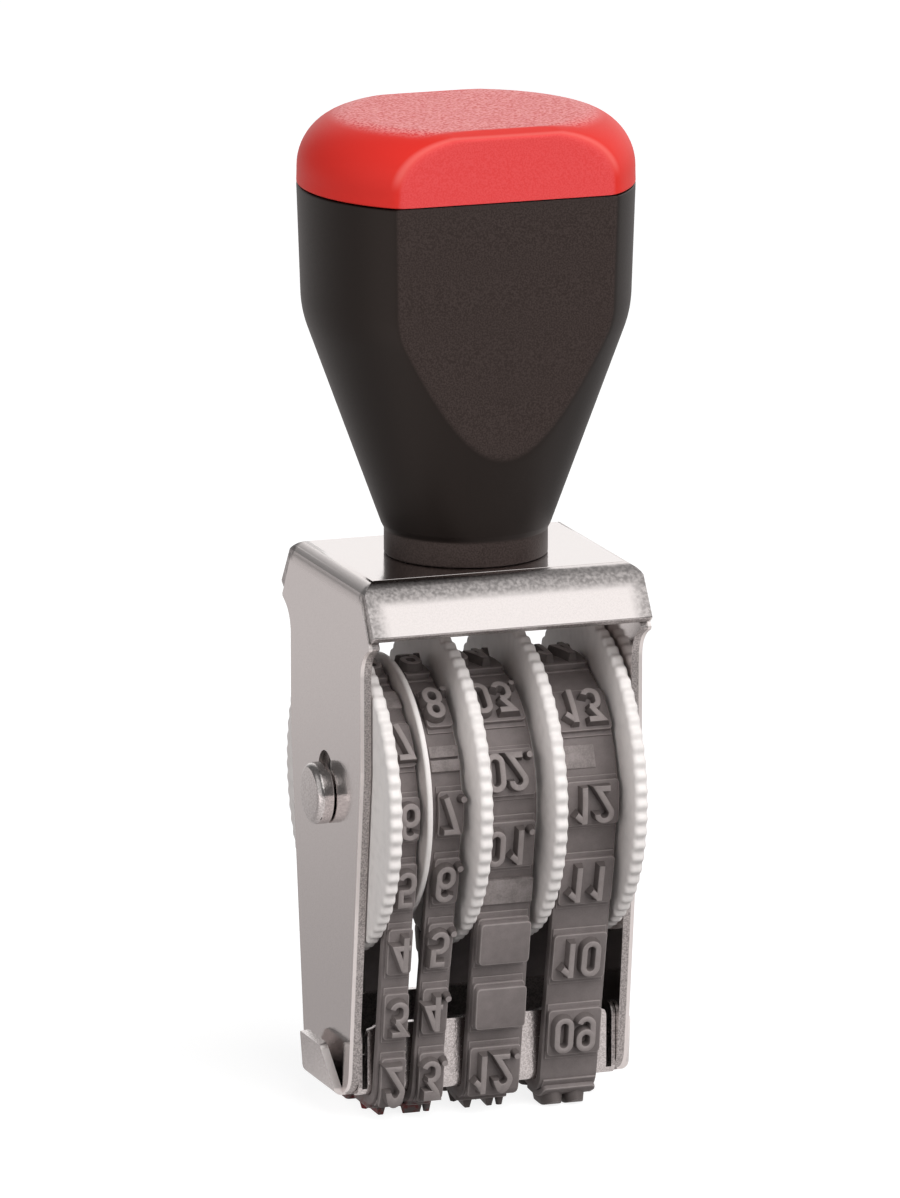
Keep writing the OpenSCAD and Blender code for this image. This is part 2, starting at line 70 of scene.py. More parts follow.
# The marks of faces, which are the places of their finishes among those of a piece.
SHEARED_FACES, PAINTED_SHADE_FACES = 1, 2
WEAR_AND_HIGHLIGHT_FACES, LAP_FACES, SHADED_SIDE_FACES = 1, 2, 3
# How near two points are one, and how near two heights are level, in millimetres.
WELD = 1e-4
LEVEL = 1e-5
Point = tuple[float, float]
Place = tuple[float, float, float]
Corner = tuple[float, float, float]
Colour = tuple[float, float, float]


def rgba(colour: Colour) -> tuple[float, float, float, float]:
    """Gives a colour its full alpha."""
    return (*colour, 1.0)


class Value:
    """A number on its way through a shader, so that shader maths reads as Python."""

    def __init__(self, shader: Shader, socket: NodeSocket) -> None:
        """Keeps the shader and the socket that carries the number."""
        self.shader = shader
        self.socket = socket

    def _math(self, operation: str, *numbers: Value | float) -> Value:
        """Adds one Math node.

        Args:
            operation: The Math node's operation.
            numbers: Its inputs, in order.

        Returns:
            The node's result.
        """
        made = self.shader.node("ShaderNodeMath", {"operation": operation}, dict(enumerate(numbers)))
        return Value(self.shader, made.outputs[0])

    def __add__(self, other: Value | float) -> Value:
        """Adds."""
        return self._math("ADD", self, other)

    def __radd__(self, other: float) -> Value:
        """Adds to a plain number."""
        return self._math("ADD", other, self)

    def __sub__(self, other: Value | float) -> Value:
        """Subtracts."""
        return self._math("SUBTRACT", self, other)

    def __rsub__(self, other: float) -> Value:
        """Subtracts from a plain number."""
        return self._math("SUBTRACT", other, self)

    def __mul__(self, other: Value | float) -> Value:
        """Multiplies."""
        return self._math("MULTIPLY", self, other)

    def __rmul__(self, other: float) -> Value:
        """Multiplies a plain number."""
        return self._math("MULTIPLY", other, self)

    def __truediv__(self, other: Value | float) -> Value:
        """Divides."""
        return self._math("DIVIDE", self, other)

    def __abs__(self) -> Value:
        """Drops the sign."""
        return self._math("ABSOLUTE", self)

    def most(self, other: Value | float) -> Value:
        """Gives the larger of two numbers."""
        return self._math("MAXIMUM", self, other)

    def step(self, low: float, high: float) -> Value:
        """Runs smoothly from 0 at low to 1 at high.

        Args:
            low: Where the result is 0.
            high: Where the result is 1.

        Returns:
            The eased number.
        """
        inputs = {"Value": self, "From Min": low, "From Max": high, "To Min": 0.0, "To Max": 1.0}
        made = self.shader.node("ShaderNodeMapRange", {"interpolation_type": "SMOOTHSTEP"}, inputs)
        return Value(self.shader, made.outputs[0])

    def past(self, place: float, rim: Point) -> Value:
        """Steps across a soft border whose ends lie at the rim's distances from a place."""
        return self.step(place + rim[0], place + rim[1])


class Shader:
    """The node tree of a material or the world, and the only place where nodes are made."""

    def __init__(self, owner: Material | bpy.types.World) -> None:
        """Empties the owner's node tree.

        Args:
            owner: The material or the world.
        """
        owner.use_nodes = True
        self.owner = owner
        self.tree = owner.node_tree
        self.tree.nodes.clear()

    @classmethod
    def of_material(cls, name: str) -> Shader:
        """Starts an empty material of that name."""
        return cls(bpy.data.materials.new(name))

    def node(
        self,
        kind: str,
        settings: Mapping[str, Any] | None = None,
        inputs: Mapping[str | int, Any] | None = None,
    ) -> bpy.types.Node:
        """Makes one node.

        Args:
            kind: The node's type.
            settings: Its properties, set first.
            inputs: Its sockets by name or number, each a plain value, a Value or a socket to link.

        Returns:
            The node.
        """
        made = self.tree.nodes.new(kind)
        for key, setting in (settings or {}).items():
            setattr(made, key, setting)
        for key, given in (inputs or {}).items():
            source = given.socket if isinstance(given, Value) else given
            if isinstance(source, NodeSocket):
                self.tree.links.new(source, made.inputs[key])
            else:
                made.inputs[key].default_value = source
        return made

    def place(self) -> NodeSocket:
        """Gives the place on the piece, in metres."""
        return self.node("ShaderNodeTexCoord").outputs["Object"]

    def light_path(self, name: str) -> Value:
        """Tells 1 for the rays of that kind, such as Is Camera Ray."""
        return Value(self, self.node("ShaderNodeLightPath").outputs[name])

    def toward(self, direction: Sequence[float]) -> Value:
        """Gives how far the place lies along a direction.

        Args:
            direction: The direction, of any length.

        Returns:
            The distance.
        """
        inputs = {0: self.place(), 1: tuple(Vector(direction).normalized())}
        made = self.node("ShaderNodeVectorMath", {"operation": "DOT_PRODUCT"}, inputs)
        return Value(self, made.outputs["Value"])

    def axis(self, name: str) -> Value:
        """Gives one coordinate of the place on the piece, named X, Y or Z."""
        made = self.node("ShaderNodeSeparateXYZ", inputs={"Vector": self.place()})
        return Value(self, made.outputs[name])

    def noise(self, grain: float, detail: float = 2.0) -> Value:
        """Makes noise on the piece.

        Args:
            grain: The size of its grains, in millimetres.
            detail: How many finer layers it has.

        Returns:
            The noise, around one half.
        """
        inputs = {"Vector": self.place(), "Scale": 1.0 / (grain * MM), "Detail": detail}
        return Value(self, self.node("ShaderNodeTexNoise", inputs=inputs).outputs["Fac"])

    def mix_colour(self, factor: Value, low: Any, high: Any) -> NodeSocket:
        """Mixes two colours.

        Args:
            factor: How much of the second colour shows.
            low: The first colour, plain or linked.
            high: The second colour, plain or linked.

        Returns:
            The mixed colour.
        """
        made = self.node("ShaderNodeMix", {"data_type": "RGBA"}, {0: factor, 6: low, 7: high})
        return made.outputs[2]

    def bump(self, height: Value, depth: float, strength: float = 1.0) -> NodeSocket:
        """Turns a height into a bumped normal.

        Args:
            height: The height, from 0 to 1.
            depth: How deep 1 is, in millimetres.
            strength: How much of it shows.

        Returns:
            The normal.
        """
        inputs = {"Height": height, "Distance": depth * MM, "Strength": strength}
        return self.node("ShaderNodeBump", inputs=inputs).outputs[0]

    def surface(self, **inputs: Any) -> Material:
        """Closes the material with a Principled shader.

        Args:
            inputs: The shader's sockets, with spaces written as underscores.

        Returns:
            The finished material.
        """
        named = {key.replace("_", " "): given for key, given in inputs.items()}
        shader = self.node("ShaderNodeBsdfPrincipled", inputs=named)
        self.node("ShaderNodeOutputMaterial", inputs={"Surface": shader.outputs[0]})
        return self.owner


@dataclass(frozen=True)
class MouldedGrain:
    """Moulded plastic: smooth round sides, and an eroded grain on the flats and the top. On the cap,
    the top's pale specks are that grain in a painted sheen colour.

    A rim is a soft border, given by its two ends' distances from the line that it follows. The
    ridge is a painted highlight along a flat's border, with its start, its end and its foot given
    so too.
    """

    name: str
    smooth: Colour
    grained: Colour
    speck: Colour
    top: Colour
    # The top's specks: real grain, and on the cap their pale colour is a painted sheen.
    top_speck_and_sheen: Colour
    gloss: float
    # The ridge colour is a painted highlight, where a flat's rounded border would catch the light.
    ridge: Colour
    sheen: Colour = (1.0, 1.0, 1.0)
    grain: float = 0.16
    top_grain: float = 0.28
    depth: float = 0.03
    roughness: float = 0.42
    flat_rough: float = 0.13
    top_rough: float = -0.07
    grain_rough: float = 0.1
    flat_rim: Point = (-0.2, -0.03)
    crease_rim: Point = (-0.5, 0.35)
    top_rim: Point = (-0.7, -0.03)
    collar_rim: Point = (-0.2, 0.3)
    ridge_start: Point = (-0.75, -0.3)
    ridge_end: Point = (-0.25, 0.0)
    ridge_foot: Point = (1.5, 3.5)
    ridge_highlight_share: float = 0.6

    def build(self) -> Material:
        """Makes the material.

        Returns:
            The material.
        """
        shader = Shader.of_material(self.name)
        form = Grip()
        height = shader.axis("Z") / MM - form.foot_z
        half = form.flat_half + (height - form.joint_z) * math.tan(math.radians(form.flat_draft))
        beyond = abs(shader.axis("Y") / MM)
        over = beyond - half
        on_flat = over.step(*self.flat_rim)
        crease = 1.0 - beyond.past(form.crown_half, self.crease_rim)
        on_top = height.past(form.top_z, self.top_rim) * crease
        # The grip's collar takes the lighter grained colour: real grain, and painted bounce light
        # from the top plate under it.
        collar_grain_and_bounce = 1.0 - height.past(form.collar_h, self.collar_rim)
        rough = on_flat.most(on_top).most(collar_grain_and_bounce)
        # Painted highlight: the ridge colour along the upper part of each flat's border.
        near = over.step(*self.ridge_start) - over.step(*self.ridge_end)
        ridge = near * height.past(form.joint_z, self.ridge_foot) * self.ridge_highlight_share
        grain = shader.noise(self.grain, 1.0)
        pores = shader.noise(self.top_grain, 1.0).step(0.34, 0.62)
        flat = shader.mix_colour(grain.step(0.32, 0.68), rgba(self.grained), rgba(self.speck))
        top = shader.mix_colour(pores, rgba(self.top), rgba(self.top_speck_and_sheen))
        upper = shader.mix_colour(on_top, flat, top)
        skin = shader.mix_colour(rough, rgba(self.smooth), upper)
        zones = self.roughness + self.flat_rough * on_flat + self.top_rough * on_top
        return shader.surface(
            Base_Color=shader.mix_colour(ridge, skin, rgba(self.ridge)),
            Roughness=zones + self.grain_rough * (grain - 0.5),
            Normal=shader.bump((grain - 0.5) * (0.3 + 0.7 * rough), self.depth, 0.5),
            Specular_IOR_Level=self.gloss,
            Specular_Tint=rgba(self.sheen),
        )


@dataclass(frozen=True)
class PlatedSteel:
    """Steel with a bright plate, over a skin that is smooth or pitted. Its flanges may take a painted
    shade, mottled, at their top bend and their ends.

    A rim is a soft border, given by its two ends' distances from the line that it follows. The edge
    glint is a painted highlight along the outer side of a cut edge, where a finish has one.
    """

    name: str
    colour: Colour
    roughness: float
    pits: float = 0.0
    depth: float = 0.006
    bend_shade: float = 0.0
    edge_glint: Colour | None = None
    edge_glint_rim: Point = (-0.42, -0.32)
    flange_rim: Point = (0.0, 0.6)
    under_rim: Point = (-1.0, -0.5)
    upper_rim: Point = (-2.3, -1.2)
    end_rim: Point = (-2.0, 0.0)
    side_rim: Point = (-0.12, -0.03)
    bend_start: Point = (-2.6, -1.7)
    bend_end: Point = (-0.3, -0.02)
    bend_rough: float = 0.24

    def paint_bend_shade(self, shader: Shader) -> Value:
        """Gives the painted shade, mottled, over the upper parts and the ends of the flanges.

        Args:
            shader: The material's shader.

        Returns:
            The painted shade, from 0 to 1.
        """
        form = SteelWork()
        x, y, z = (shader.axis(name) / MM for name in "XYZ")
        inside = abs(y).past(form.flange_y, self.flange_rim) * z.past(form.flange_z, self.under_rim)
        upper = z.past(form.flange_top, self.upper_rim)
        on_side = abs(x).past(form.plate_x[1], self.side_rim)
        ends = abs(x).past(form.flange_x, self.end_rim) * (1.0 - on_side)
        mottle = shader.noise(0.35, 2.0).step(0.3, 0.7)
        return inside * upper.most(ends) * (0.55 + 0.45 * mottle) * self.bend_shade

    def stretch(self, shader: Shader) -> Value:
        """Gives how far the bends along the top have roughened the plate.

        Args:
            shader: The material's shader.

        Returns:
            The roughening, from 0 to 1.
        """
        top = SteelWork().flange_top
        z = shader.axis("Z") / MM
        return z.past(top, self.bend_start) * (1.0 - z.past(top, self.bend_end))

    def build(self) -> Material:
        """Makes the material.

        Returns:
            The material.
        """
        shader = Shader.of_material(self.name)
        skin = shader.noise(0.22, 2.0)
        pits_and_shade = shader.noise(0.16, 2.0).step(0.36, 0.66) * self.pits
        rough = self.roughness + 0.16 * (skin - 0.5)
        # With bend shade, the bends grow rougher and a painted shade darkens the flanges' top and
        # ends.
        if self.bend_shade:
            pits_and_shade = pits_and_shade.most(self.paint_bend_shade(shader))
            rough = rough + self.bend_rough * self.stretch(shader)
        dark = tuple(0.3 * part for part in self.colour)
        colour = shader.mix_colour(pits_and_shade, rgba(self.colour), rgba(dark))
        # Painted highlight: a bright band along the outer side of the cut edge.
        if self.edge_glint:
            edge_glint = abs(shader.axis("X") / MM).past(SteelWork().plate_x[1], self.edge_glint_rim)
            colour = shader.mix_colour(edge_glint, colour, rgba(self.edge_glint))
        return shader.surface(
            Base_Color=colour,
            Metallic=1.0,
            Roughness=rough + 0.15 * pits_and_shade,
            Normal=shader.bump(skin, self.depth, 0.6),
        )


@dataclass(frozen=True)
class SatinPlastic:
    """Plain moulded plastic with a satin skin."""

    name: str
    colour: Colour
    roughness: float

    def build(self) -> Material:
        """Makes the material.

        Returns:
            The material.
        """
        shader = Shader.of_material(self.name)
        cloud = shader.noise(1.2, 3.0)
        shade = tuple(0.93 * part for part in self.colour)
        return shader.surface(
            Base_Color=shader.mix_colour(cloud.step(0.4, 0.75), rgba(self.colour), rgba(shade)),
            Roughness=self.roughness + 0.1 * (cloud - 0.5),
            Normal=shader.bump(shader.noise(0.25), 0.006, 0.4),
        )


@dataclass(frozen=True)
class BandRubber:
    """Moulded rubber of a type band, with a trace of old ink near the print line.

    The ink fades between the two heights of its rim.
    """

    name: str
    colour: Colour
    worn: Colour
    ink_share: float
    ink: Colour = (0.13, 0.012, 0.012)
    ink_rim: Point = (0.2, 2.6)
    roughness: float = 0.62
    depth: float = 0.02
    gloss: float = 0.35

    def build(self) -> Material:
        """Makes the material.

        Returns:
            The material.
        """
        shader = Shader.of_material(self.name)
        fine = shader.noise(0.16, 2.0)
        cloud = shader.noise(1.1, 2.0)
        tone = 0.6 * cloud + 0.4 * fine
        base = shader.mix_colour(tone.step(0.3, 0.7), rgba(self.colour), rgba(self.worn))
        low = 1.0 - (shader.axis("Z") / MM).step(*self.ink_rim)
        inked = low * shader.noise(0.8, 3.0).step(0.42, 0.6) * self.ink_share
        return shader.surface(
            Base_Color=shader.mix_colour(inked, base, rgba(self.ink)),
            Roughness=self.roughness + 0.2 * (fine - 0.5),
            Normal=shader.bump(fine, self.depth, 0.35),
            Specular_IOR_Level=self.gloss,
        )


PLATE: Colour = (0.78, 0.735, 0.725)
BAND_TONES: tuple[Colour, Colour] = ((0.166, 0.143, 0.139), (0.2, 0.173, 0.169))
# Darker rubber for the numerals' sides: painted shade.
SHADED_SIDE_TONES: tuple[Colour, Colour] = ((0.1, 0.085, 0.082), (0.125, 0.107, 0.103))


class Finishes(Enum):
    """Every finish of the stamp."""

    GRIP = MouldedGrain(
        "moulded_black",
        smooth=(0.0045, 0.0028, 0.0022),
        grained=(0.022, 0.0152, 0.0138),
        speck=(0.041, 0.0298, 0.0274),
        top=(0.022, 0.0152, 0.0138),
        top_speck_and_sheen=(0.041, 0.0298, 0.0274),
        gloss=0.36,
        ridge=(0.0045, 0.0028, 0.0022),
        sheen=(1.0, 0.86, 0.8),
    )
    CAP = MouldedGrain(
        "moulded_red",
        smooth=(0.72, 0.034, 0.026),
        grained=(0.735, 0.06, 0.06),
        speck=(0.765, 0.082, 0.082),
        top=(0.66, 0.02, 0.02),
        # Pale specks on the cap's top: real grain in a painted sheen colour.
        top_speck_and_sheen=(0.86, 0.26, 0.255),
        gloss=0.16,
        # Painted highlight along the upper border of the cap's flats.
        ridge=(0.82, 0.17, 0.155),
    )
    # The bright plate, with a painted shade at the flanges' top bend and ends.
    STEEL = PlatedSteel("bright_plate", PLATE, 0.11, pits=0.06, depth=0.009, bend_shade=0.85)
    # Sheared edges, with a painted highlight along their outer side.
    SHEARED = PlatedSteel(
        "sheared_edge", (0.6, 0.56, 0.55), 0.38, pits=0.62, depth=0.03, edge_glint=(0.98, 0.93, 0.915)
    )
    # A dark, rough plate for the platen's inside: painted shade of the channel.
    PAINTED_SHADE = PlatedSteel("painted_shade_plate", (0.3, 0.272, 0.265), 0.5, pits=0.5)
    PLATEN = PlatedSteel("platen_plate", PLATE, 0.2, pits=0.34, depth=0.03)
    AXLE = PlatedSteel("axle_steel", (0.76, 0.72, 0.71), 0.13, pits=0.3, depth=0.025)
    ZINC = PlatedSteel("bright_zinc", (0.6, 0.6, 0.58), 0.35)
    WHEEL = SatinPlastic("satin_white", (0.82, 0.775, 0.755), 0.42)
    RUBBER = BandRubber("plain_rubber", *BAND_TONES, 0.0)
    INKED = BandRubber("inked_rubber", *BAND_TONES, 0.9)
    # Lighter rubber for the crests and block rims: partly wear, partly a painted highlight.
    TYPE_WEAR_AND_HIGHLIGHT = BandRubber("worn_type_and_highlight", (0.25, 0.219, 0.213), (0.29, 0.255, 0.248), 0.0)
    SHADED_TYPE_SIDE = BandRubber("shaded_type_sides", *SHADED_SIDE_TONES, 0.0)
    SHADED_INKED_SIDE = BandRubber("shaded_inked_sides", *SHADED_SIDE_TONES, 0.9)
    LAP = BandRubber("rough_lap", (0.185, 0.161, 0.156), (0.295, 0.26, 0.253), 0.0)

    @cache
    def material(self) -> Material:
        """Gives this finish's material, made once."""
        return self.value.build()


class Slots(Enum):
    """The record's material slots."""

    GRIP = "grip_black"
    CAP = "cap_red"
    STEEL = "plated_steel"
    ZINC = "zinc"
    WHEEL = "wheel_white"
    RUBBER = "band_rubber"


def rounded(corners: Sequence[Corner], closed: bool = True, arc_steps: int = 8) -> list[Point]:
    """Rounds the corners of an outline.

    Args:
        corners: Each corner's two coordinates and its radius.
        closed: Whether the last corner joins the first.
        arc_steps: How many steps a rounded corner takes.

    Returns:
        The outline's points.
    """
    points: list[Point] = []
    for i, (x, y, radius) in enumerate(corners):
        at = Vector((x, y))
        if radius == 0 or (not closed and i in (0, len(corners) - 1)):
            points.append((x, y))
            continue
        before = (Vector(corners[i - 1][:2]) - at).normalized()
        after = (Vector(corners[(i + 1) % len(corners)][:2]) - at).normalized()
        half = before.angle(after) / 2
        centre = at + (before + after).normalized() * radius / math.sin(half)
        start = at + before * radius / math.tan(half) - centre
        turn = start.angle_signed(at + after * radius / math.tan(half) - centre)
        for k in range(arc_steps + 1):
            spoke = start.copy()
            spoke.rotate(Matrix.Rotation(-turn * k / arc_steps, 2))
            points.append(tuple(centre + spoke))
    return points


def eased(share: float) -> float:
    """Runs smoothly from 0 at 0 to 1 at 1, and stays there on either side."""
    share = min(1.0, max(0.0, share))
    return share * share * (3 - 2 * share)


def chain(bm: BMesh, places: Sequence[Vector], closed: bool = False) -> list[BMEdge]:
    """Lays a row of joined edges.

    Args:
        bm: The mesh to lay it in.
        places: The row's points.
        closed: Whether the last joins the first.

    Returns:
        The edges.
    """
    verts = [bm.verts.new(place) for place in places]
    pairs = list(zip(verts, verts[1:]))
    if closed:
        pairs.append((verts[-1], verts[0]))
    return [bm.edges.new(pair) for pair in pairs]


def ends_of(edges: Sequence[BMEdge]) -> list[BMVert]:
    """Gives the vertices of a row of edges, each once."""
    return list(dict.fromkeys(vert for edge in edges for vert in edge.verts))


def newer(bm: BMesh, before: set[BMVert]) -> list[BMVert]:
    """Gives the vertices that a mesh has gained."""
    return [vert for vert in bm.verts if vert not in before]


def lines_of(verts: Sequence[BMVert]) -> list[BMEdge]:
    """Gives the edges at vertices, each once."""
    return list(dict.fromkeys(line for vert in verts for line in vert.link_edges))


def faces_of(verts: Sequence[BMVert]) -> list[BMFace]:
    """Gives the faces at vertices, each once."""
    return list(dict.fromkeys(face for vert in verts for face in vert.link_faces))


def raise_mesh(bm: BMesh, height: float) -> None:
    """Moves a whole mesh up."""
    bmesh.ops.translate(bm, vec=Vector((0, 0, height)), verts=bm.verts)


def to_mesh(bm: BMesh, name: str) -> bpy.types.Mesh:
    """Stores an edited mesh.

    Args:
        bm: The edited mesh, which is used up.
        name: The stored mesh's name.

    Returns:
        The stored mesh.
    """
    mesh = bpy.data.meshes.new(name)
    bm.to_mesh(mesh)
    bm.free()
    return mesh


def stand(name: str, data: bpy.types.ID) -> bpy.types.Object:
    """Puts a new object in the scene.

    Args:
        name: Its name.
        data: Its mesh, lamp or camera.

    Returns:
        The object.
    """
    made = bpy.data.objects.new(name, data)
    bpy.context.scene.collection.objects.link(made)
    return made


def stand_facing(name: str, data: bpy.types.ID, at: Vector, toward: Vector) -> bpy.types.Object:
    """Puts a new camera or lamp in the scene.

    Args:
        name: Its name.
        data: The camera or the lamp.
        at: Its place, in millimetres.
        toward: The direction in which it looks.

    Returns:
        The object.
    """
    made = stand(name, data)
    made.rotation_mode = "QUATERNION"
    made.rotation_quaternion = toward.to_track_quat("-Z", "Y")
    made.location = at * MM
    return made


def spin_full(bm: BMesh, edges: Sequence[BMEdge], axis: Vector, steps: int) -> None:
    """Turns a row of edges once round an axis through the origin and closes the skin.

    Args:
        bm: The mesh that holds the row.
        edges: The row.
        axis: The axis's direction.
        steps: How many steps the turn takes, a multiple of the sectors.
    """
    share = math.tau / SECTORS
    row = [*ends_of(edges), *edges]
    bmesh.ops.spin(bm, geom=row, cent=Vector(), axis=axis, angle=share, steps=steps // SECTORS)
    bmesh.ops.spin(
        bm,
        geom=[*bm.verts, *bm.edges, *bm.faces],
        cent=Vector(),
        axis=axis,
        angle=math.tau - share,
        steps=SECTORS - 1,
        use_duplicate=True,
    )
    bmesh.ops.remove_doubles(bm, verts=bm.verts, dist=WELD)
    bmesh.ops.recalc_face_normals(bm, faces=bm.faces)


def turned_on_axle(
    corners: Sequence[Corner], steps: int, closed: bool = True, arc_steps: int = 4
) -> BMesh:
    """Turns an outline round the axle.

    Args:
        corners: The outline's corners as place along the axle, radius and rounding.
        steps: How many steps the turn takes, a multiple of the sectors.
        closed: Whether the last corner joins the first.
        arc_steps: How many steps a rounded corner takes.

    Returns:
        The form, with the axle at Z = 0.
    """
    bm = bmesh.new()
    points = rounded(corners, closed, arc_steps)
    edges = chain(bm, [Vector((x, 0, r)) for x, r in points], closed)
    spin_full(bm, edges, Vector((1, 0, 0)), steps)
    return bm


class Sweep:
    """A row of edges that is drawn through a mesh by moves and turns."""

    def __init__(self, bm: BMesh, edges: Sequence[BMEdge]) -> None:
        """Takes the mesh and the row to draw."""
        self.bm = bm
        self.edges = list(edges)

    def move(self, step: Vector) -> None:
        """Draws the row along a straight step.

        Args:
            step: The step.
        """
        made = bmesh.ops.extrude_edge_only(self.bm, edges=self.edges)["geom"]
        fresh = [item for item in made if isinstance(item, BMVert)]
        rows = [item for item in made if isinstance(item, BMEdge)]
        self.edges = [row for row in rows if set(row.verts) <= set(fresh)]
        bmesh.ops.translate(self.bm, verts=fresh, vec=step)

    def turn(self, centre: Vector, axis: Vector, angle: float, steps: int) -> None:
        """Draws the row round an arc.

        Args:
            centre: A point of the arc's axis.
            axis: The axis's direction.
            angle: The angle, in radians.
            steps: How many steps the arc takes.
        """
        made = bmesh.ops.spin(
            self.bm,
            geom=[*ends_of(self.edges), *self.edges],
            cent=centre,
            axis=axis,
            angle=angle,
            steps=steps,
        )
        self.edges = [item for item in made["geom_last"] if isinstance(item, BMEdge)]


def soften_edges(bm: BMesh, edges: Sequence[BMEdge], radius: float, segments: int) -> None:
    """Rounds edges.

    Args:
        bm: The mesh that holds them.
        edges: The edges.
        radius: The radius.
        segments: How many steps the radius takes.
    """
    bmesh.ops.bevel(
        bm,
        geom=list(edges),
        offset=radius,
        offset_type="OFFSET",
        segments=segments,
        profile=0.5,
        affect="EDGES",
        clamp_overlap=True,
        material=-1,
    )


def add_block(
    bm: BMesh, size: Point, low: float, high: float, corner: float, edge: float
) -> None:
    """Adds a block with rounded corners and a soft upper rim over the middle of the plan.

    Args:
        bm: The mesh to add it to.
        size: Its width and its length.
        low: The height of its underside.
        high: The height of its top.
        corner: The radius of its upright edges.
        edge: The radius of its upper rim.
    """
    before = set(bm.verts)
    block = bmesh.ops.create_cube(bm, size=1.0)["verts"]
    bmesh.ops.scale(bm, vec=Vector((*size, high - low)), verts=block)
    bmesh.ops.translate(bm, vec=Vector((0, 0, (low + high) / 2)), verts=block)
    feet = {line: min(end.co.z for end in line.verts) for line in lines_of(block)}
    heads = {line: max(end.co.z for end in line.verts) for line in feet}
    uprights = [line for line in feet if heads[line] - feet[line] > LEVEL]
    soften_edges(bm, uprights, corner, CORNER_STEPS)
    feet = {line: min(end.co.z for end in line.verts) for line in lines_of(newer(bm, before))}
    soften_edges(bm, [line for line in feet if feet[line] > high - LEVEL], edge, RIM_STEPS)
    # A block's upper rim takes the lighter type finish: a painted highlight.
    for face in faces_of(newer(bm, before)):
        foot = min(vert.co.z for vert in face.verts)
        on_rim = foot > high - edge - WELD and face.calc_center_median().z < high - WELD
        face.material_index = WEAR_AND_HIGHLIGHT_FACES if on_rim else 0


@dataclass
class Bench:
    """Turns finished meshes into pieces of the stamp."""

    nodes: Mapping[str, bpy.types.Object]
    sharp_angle: float = 30.0
    flat_angle: float = 0.6
    flat_weight: int = 80
    soft_steps: int = 2
    round_steps: int = 5

    def piece(
        self,
        bm: BMesh,
        name: str,
        finish: Finishes,
        body: str = ROOT_BODY,
        replaces: Sequence[str] = (),
        crease: float = 35.0,
        weighted: bool = False,
        others: Sequence[Finishes] = (),
    ) -> None:
        """Makes one piece from a mesh in millimetres.

        Args:
            bm: The mesh, which is used up.
            name: The piece's name.
            finish: Its finish.
            body: The body it rides on.
            replaces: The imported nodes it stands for.
            crease: The angle past which an edge is sharp, in degrees.
            weighted: Whether large flat faces set the shading at their rims.
            others: The finishes of the faces marked 1, 2 and so on.
        """
        bmesh.ops.scale(bm, vec=Vector((MM, MM, MM)), verts=bm.verts)
        mesh = to_mesh(bm, name)
        mesh.shade_smooth()
        mesh.set_sharp_from_angle(angle=math.radians(crease))
        made = stand(name, mesh)
        if weighted:
            keep = made.modifiers.new("even_flats", "WEIGHTED_NORMAL")
            keep.keep_sharp = True
            keep.weight = self.flat_weight
        for look in (finish, *others):
            mesh.materials.append(look.material())
        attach(made, body)
        if replaces:
            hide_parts(*replaces)
        LOG.info("%s: %d faces on %s", name, len(mesh.polygons), body)

    def softened(
        self, node: str, edge: float, first: Callable[[BMEdge], bool], first_edge: float
    ) -> BMesh:
        """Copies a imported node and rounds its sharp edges.

        Args:
            node: The node.
            edge: The radius of the rounded edges, in millimetres.
            first: Tells the sharp edges that are rounded more.
            first_edge: The radius of those.

        Returns:
            The copy's mesh, in millimetres.
        """
        bm = bmesh.new()
        bm.from_mesh(self.nodes[node].data)
        bmesh.ops.scale(bm, vec=Vector((1 / MM, 1 / MM, 1 / MM)), verts=bm.verts)
        bmesh.ops.remove_doubles(bm, verts=bm.verts, dist=WELD)
        limit = math.radians(self.flat_angle)
        bmesh.ops.dissolve_limit(bm, angle_limit=limit, verts=bm.verts, edges=bm.edges)
        chosen = [line for line in self.sharp_edges(bm) if first(line)]
        if chosen:
            soften_edges(bm, chosen, first_edge, self.round_steps)
        soften_edges(bm, self.sharp_edges(bm), edge, self.soft_steps)
        return bm

    def sharp_edges(self, bm: BMesh) -> list[BMEdge]:
        """Gives a mesh's sharp edges."""
        limit = math.radians(self.sharp_angle)
        return [line for line in bm.edges if line.is_manifold and line.calc_face_angle() > limit]

    def dress(self, node: str, finish: Finishes) -> None:
        """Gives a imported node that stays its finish.

        Args:
            node: The node.
            finish: Its finish.
        """
        mesh = self.nodes[node].data
        mesh.materials.clear()
        mesh.materials.append(finish.material())
        LOG.info("%s: packed node kept", node)


